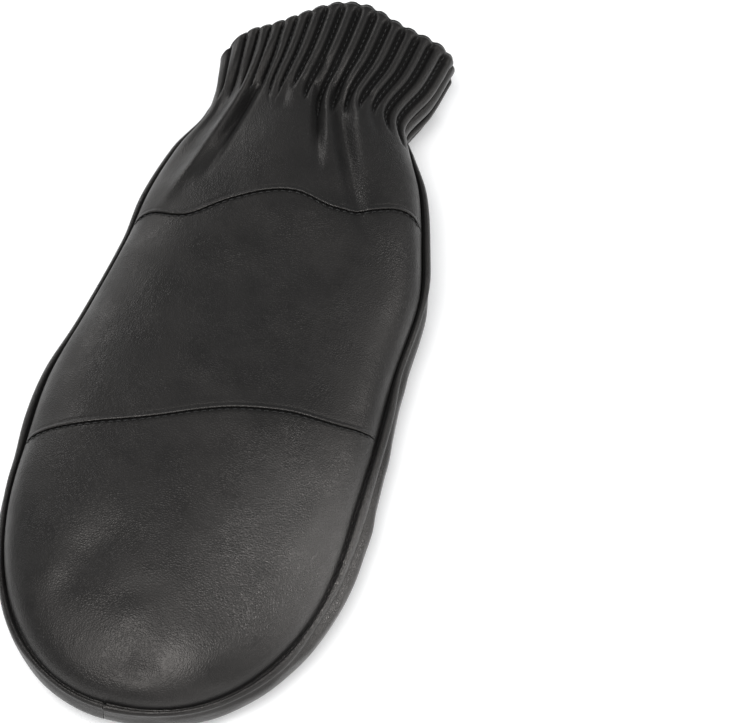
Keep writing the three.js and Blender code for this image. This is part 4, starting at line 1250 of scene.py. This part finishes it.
# %% [markdown]
# ## The palm and the folded thumb
# The palm lies on the table, so it is pressed flat there, and it rises over the thumb, which is folded
# under it. The photo doesn't show either of them, but the mitten is also seen from its sides and its open
# end. So they are finished plainly in the same leather: the palm is built from the same sections as the
# back, and the thumb is a flat bag of rings that starts at a round neck.

# %% The palm
PRESS_DEPTH = 0.8
THUMB_LENGTH = 84.0
THUMB_WIDTH = 37.0
THUMB_THICKNESS = 12.4
THUMB_SQUARENESS = 3
THUMB_LEAN = 2.4
THUMB_TOP = THUMB_THICKNESS - PRESS_DEPTH
THUMB_ACROSS = 0.478
THUMB_ALONG = 0.492
THUMB_CENTRE = np.array([THUMB_ACROSS * HAND_WIDTH / 2, THUMB_ALONG * HAND_LENGTH])
NECK_LENGTH = 30.0
NECK_WIDTH = 24.0
NECK_SETBACK = 6.0
NECK_CENTRE = THUMB_CENTRE + (0, THUMB_LENGTH / 2 - NECK_SETBACK - NECK_LENGTH / 2)
# The palm's lift over the thumb ends this far out, in shares of the thumb's own outline.
LIFT_ENDS = 1.5
PALM_ROUND_UNTIL = 0.45
PALM_TIP_ROWS = 46
PALM_HAND_ROWS = 60
PALM_POINTS_PER_RIB = 9
PALM_RIB_SHARES = steps(RIBS * PALM_POINTS_PER_RIB)


def thumb_reach(x, y, grown=0.0):
    """How far out a place is from the thumb's middle (0) to its outline (1)."""
    aside = np.abs((x - THUMB_CENTRE[0]) / (THUMB_WIDTH / 2 + grown))
    lengthwise = np.abs((y - THUMB_CENTRE[1]) / (THUMB_LENGTH / 2 + grown))
    return (aside ** THUMB_SQUARENESS + lengthwise ** THUMB_SQUARENESS) ** (1 / THUMB_SQUARENESS)


def palm_surface(x, at, y, inset=0.0):
    """The palm's skin: flat where it rests, and lifted over the thumb as far as there is room."""
    across, outwards = place_in_plan(x, at, inset)
    edge = crease_height(at, across) - band_height_at(at) - SEAM_GAP
    depth = (edge + PRESS_DEPTH - inset) * rounded_off(outwards, palm_squareness(at))
    resting = np.maximum(edge - depth, inset)
    from_band = 1 - place_in_plan(x, at, wall_at(at))[1]
    most = edge - wall_at(at) + THUMB_LEAN * THUMB_THICKNESS * from_band
    near = 1 - ease(thumb_reach(x, y, inset), 1, LIFT_ENDS)
    lifted = np.minimum((THUMB_TOP + SEAM_GAP) * near, most) + inset
    return np.stack([x, y, np.maximum(resting, lifted)], -1)


def palm_spacing(at, shares):
    return even_across(palm_surface, at, shares)


def straight_line(across):
    return np.full_like(across, PALM_ROUND_UNTIL, dtype=float)


def palm_grid(inset):
    count = RIBS * PALM_POINTS_PER_RIB
    tip = ruled_tip(palm_surface, steps(count), graded(PALM_TIP_ROWS), straight_line, inset)
    hand = [on_surface(palm_surface, at, crowded(count), inset)
            for at in blend(PALM_ROUND_UNTIL, CUFF_START, steps(PALM_HAND_ROWS))[1:-1]]
    cuff = cuff_rows(palm_surface, palm_surface, palm_spacing, PALM_RIB_SHARES, -1, inset)
    return np.concatenate([tip[::-1], hand, cuff])


palm_skin = palm_grid(0.0)
skin, inner = rounded_rim(palm_skin, palm_grid(LEATHER_WALL))
marks = groove_marks(skin, PALM_RIB_SHARES)
dress(leather_wall("palm_leather", skin, inner, marks), "palm", "palm_leather")


# %% The thumb
THUMB_COLUMNS = 160
THUMB_ROWS = 44
NECK_RINGS = 5
NECK_TURN = 0.4


def neck_point(angle, margin=0.0):
    return np.stack([NECK_CENTRE[0] + (NECK_WIDTH / 2 + margin) * np.cos(angle),
                     NECK_CENTRE[1] + (NECK_LENGTH / 2 + margin) * np.sin(angle)], -1)


def thumb_outline(angle, inset=0.0):
    power = 2 / THUMB_SQUARENESS
    c, s = np.cos(angle), np.sin(angle)
    return np.stack([THUMB_CENTRE[0] + (THUMB_WIDTH / 2 - inset) * np.sign(c) * np.abs(c) ** power,
                     THUMB_CENTRE[1] + (THUMB_LENGTH / 2 - inset) * np.sign(s) * np.abs(s) ** power], -1)


def thumb_grid(inset):
    """Rings from the neck's top down over the bag's upper face, round its edge and in below it."""
    angle = 2 * math.pi * steps(THUMB_COLUMNS)
    middle = THUMB_THICKNESS / 2 - PRESS_DEPTH
    thick = THUMB_THICKNESS / 2 - inset
    neck, outline = neck_point(angle, -inset), thumb_outline(angle, inset)
    heights = np.linspace(THUMB_TOP + SEAM_GAP + LEATHER_WALL, THUMB_TOP - inset + NECK_TURN, NECK_RINGS)
    rings = [np.c_[neck, np.full(len(angle), height)] for height in heights]
    for share in 1 - (1 - steps(THUMB_ROWS)[1:]) ** 2:
        point = blend(neck, outline, share)
        reach = thumb_reach(point[:, 0], point[:, 1], -inset)
        rings.append(np.c_[point, middle + thick * rounded_off(reach, THUMB_SQUARENESS)])
    for share in (1 - steps(THUMB_ROWS)[1:]) ** 2:
        share = 1 - (1 - share ** 0.5) ** 2
        point = blend(THUMB_CENTRE, outline, share)
        reach = thumb_reach(point[:, 0], point[:, 1], -inset)
        height = np.maximum(middle - thick * rounded_off(reach, THUMB_SQUARENESS), inset)
        rings.append(np.c_[point, height])
    return np.array(rings)


dress(leather_wall("thumb_leather", thumb_grid(0.0), thumb_grid(LEATHER_WALL)), "thumb", "palm_leather")

# %% [markdown]
# ## Stitches
# The cross seams are sewn just below the folded edge, and each groove of the cuff is a line of stitches
# between two cords. At this distance each stitch shows as a small dark bead, so every stitch is a short
# thread of its own: a thin spindle that rises from one hole and sinks into the next. We lay them along
# paths that we take from the leather's own grids, so that they always lie on it, and join each group into
# one mesh.

# %% Threads
THREAD = 0.5
STITCH_LENGTH = 2.0
STITCH_SIDES = 6
STITCH_RINGS = 6
# Shares of the thread: how high a stitch's middle lies on the leather, and how far its ends are below that.
STITCH_RISE = 0.3
STITCH_SINK = 0.45
STRANDS_A_METRE = 1400
STRANDS_BEND = 2.0
STRANDS_DEPTH = 0.00008
STRANDS_STRENGTH = 0.7
THREAD_BLACK = (0.004, 0.004, 0.004, 1)
THREAD_GREY = (0.012, 0.0115, 0.011, 1)
THREAD_ROUGHNESS = 0.55


def stitches_along(path, normals):
    """The points of every stitch on a path: stitches, rings, sides and coordinates."""
    lengths = np.r_[0, np.cumsum(np.linalg.norm(np.diff(path, axis=0), axis=1))]
    middles = np.arange(STITCH_PITCH / 2, lengths[-1] - STITCH_LENGTH / 2, STITCH_PITCH)
    share = np.linspace(-1, 1, STITCH_RINGS)
    places = middles[:, None] + share * STITCH_LENGTH / 2
    spine = np.stack([np.interp(places, lengths, path[:, i]) for i in range(3)], -1)
    up = np.stack([np.interp(places, lengths, normals[:, i]) for i in range(3)], -1)
    aside = np.cross(spine[:, -1:] - spine[:, :1], up)
    aside /= np.linalg.norm(aside, axis=-1, keepdims=True)
    spine = spine + up * (THREAD * (STITCH_RISE - STITCH_SINK * share ** 2))[:, None]
    radius = THREAD / 2 * np.sqrt(1 - share ** 2)[:, None, None]
    turn = np.linspace(0, 2 * math.pi, STITCH_SIDES + 1)[:, None]
    around = np.cos(turn) * aside[:, :, None] + np.sin(turn) * up[:, :, None]
    return spine[:, :, None] + radius * around


def lay_stitches(name, rows):
    """One mesh of all the stitches on some paths, each a path and its normals."""
    points = np.concatenate([stitches_along(path, normals) for path, normals in rows])
    count = math.prod(points.shape[:3])
    numbers = np.arange(count).reshape(points.shape[:3])
    faces = np.concatenate([quads_of(stitch) for stitch in numbers])
    piece = new_piece(name, points, faces.tolist())
    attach(piece, "root")
    piece.data.materials.append(THREAD_MATERIAL)
    print(name, len(points), "stitches,", len(piece.data.polygons), "faces")


def waxed_thread():
    nodes = Nodes("black_thread")
    strands = nodes.add("ShaderNodeTexWave", {"bands_direction": "DIAGONAL"}, Vector=nodes.place,
                        Scale=STRANDS_A_METRE, Distortion=STRANDS_BEND)
    surface_colour = nodes.mix_colour(strands.outputs["Fac"], THREAD_BLACK, THREAD_GREY)
    nodes.feed(nodes.shader.inputs["Base Color"], surface_colour)
    nodes.feed(nodes.shader.inputs["Roughness"], THREAD_ROUGHNESS)
    bump = nodes.add("ShaderNodeBump", Strength=STRANDS_STRENGTH, Distance=STRANDS_DEPTH,
                     Height=strands.outputs["Fac"])
    nodes.feed(nodes.shader.inputs["Normal"], bump.outputs["Normal"])
    return nodes.material


THREAD_MATERIAL = waxed_thread()
print("thread in mm:", THREAD, "with stitches", STITCH_PITCH, "mm apart")


# %% Stitches on the cross seams
STITCHES_BELOW_SEAM = 0.5
SEWN_ACROSS = 0.985
SEAM_POINTS = 400
PROBE = 0.3


def seam_path(seam_at):
    """A path just below a cross seam and the leather's normals along it."""
    across = np.linspace(-SEWN_ACROSS, SEWN_ACROSS, SEAM_POINTS)
    at = seam_at(across) - STITCHES_BELOW_SEAM / HAND_LENGTH
    plan = plan_point(at, across)

    def on_leather(step_x, step_y):
        x, y = plan[:, 0] + step_x, plan[:, 1] + step_y
        return back_surface(x, y / HAND_LENGTH, y)

    path = on_leather(0, 0)
    normals = np.cross(on_leather(PROBE, 0) - path, on_leather(0, -PROBE) - path)
    normals *= np.sign(normals[:, 2:])
    return path, normals / np.linalg.norm(normals, axis=1, keepdims=True)


lay_stitches("cross_seam_stitches", [seam_path(lower_seam_at), seam_path(upper_seam_at)])


# %% Stitches in the cuff's grooves
STITCHES_FROM = 0.35


def groove_paths(grid, points_per_rib, facing):
    """The floor of each groove in the cuff's rows of a grid, with its normals."""
    cuff = grid[-len(CUFF_PLACES):]
    paths = []
    for rib in range(1, RIBS):
        column = rib * points_per_rib
        path = cuff[:, column]
        normals = facing * np.cross(cuff[:, column + 1] - cuff[:, column - 1], np.gradient(path, axis=0))
        normals /= np.linalg.norm(normals, axis=1, keepdims=True)
        sewn = groove_share(CUFF_PLACES, rib / RIBS) > STITCHES_FROM
        paths.append((path[sewn], normals[sewn]))
    return paths


lay_stitches("cuff_back_stitches", groove_paths(wrist_skin, POINTS_PER_RIB, 1))
lay_stitches("cuff_palm_stitches", groove_paths(palm_skin, PALM_POINTS_PER_RIB, -1))
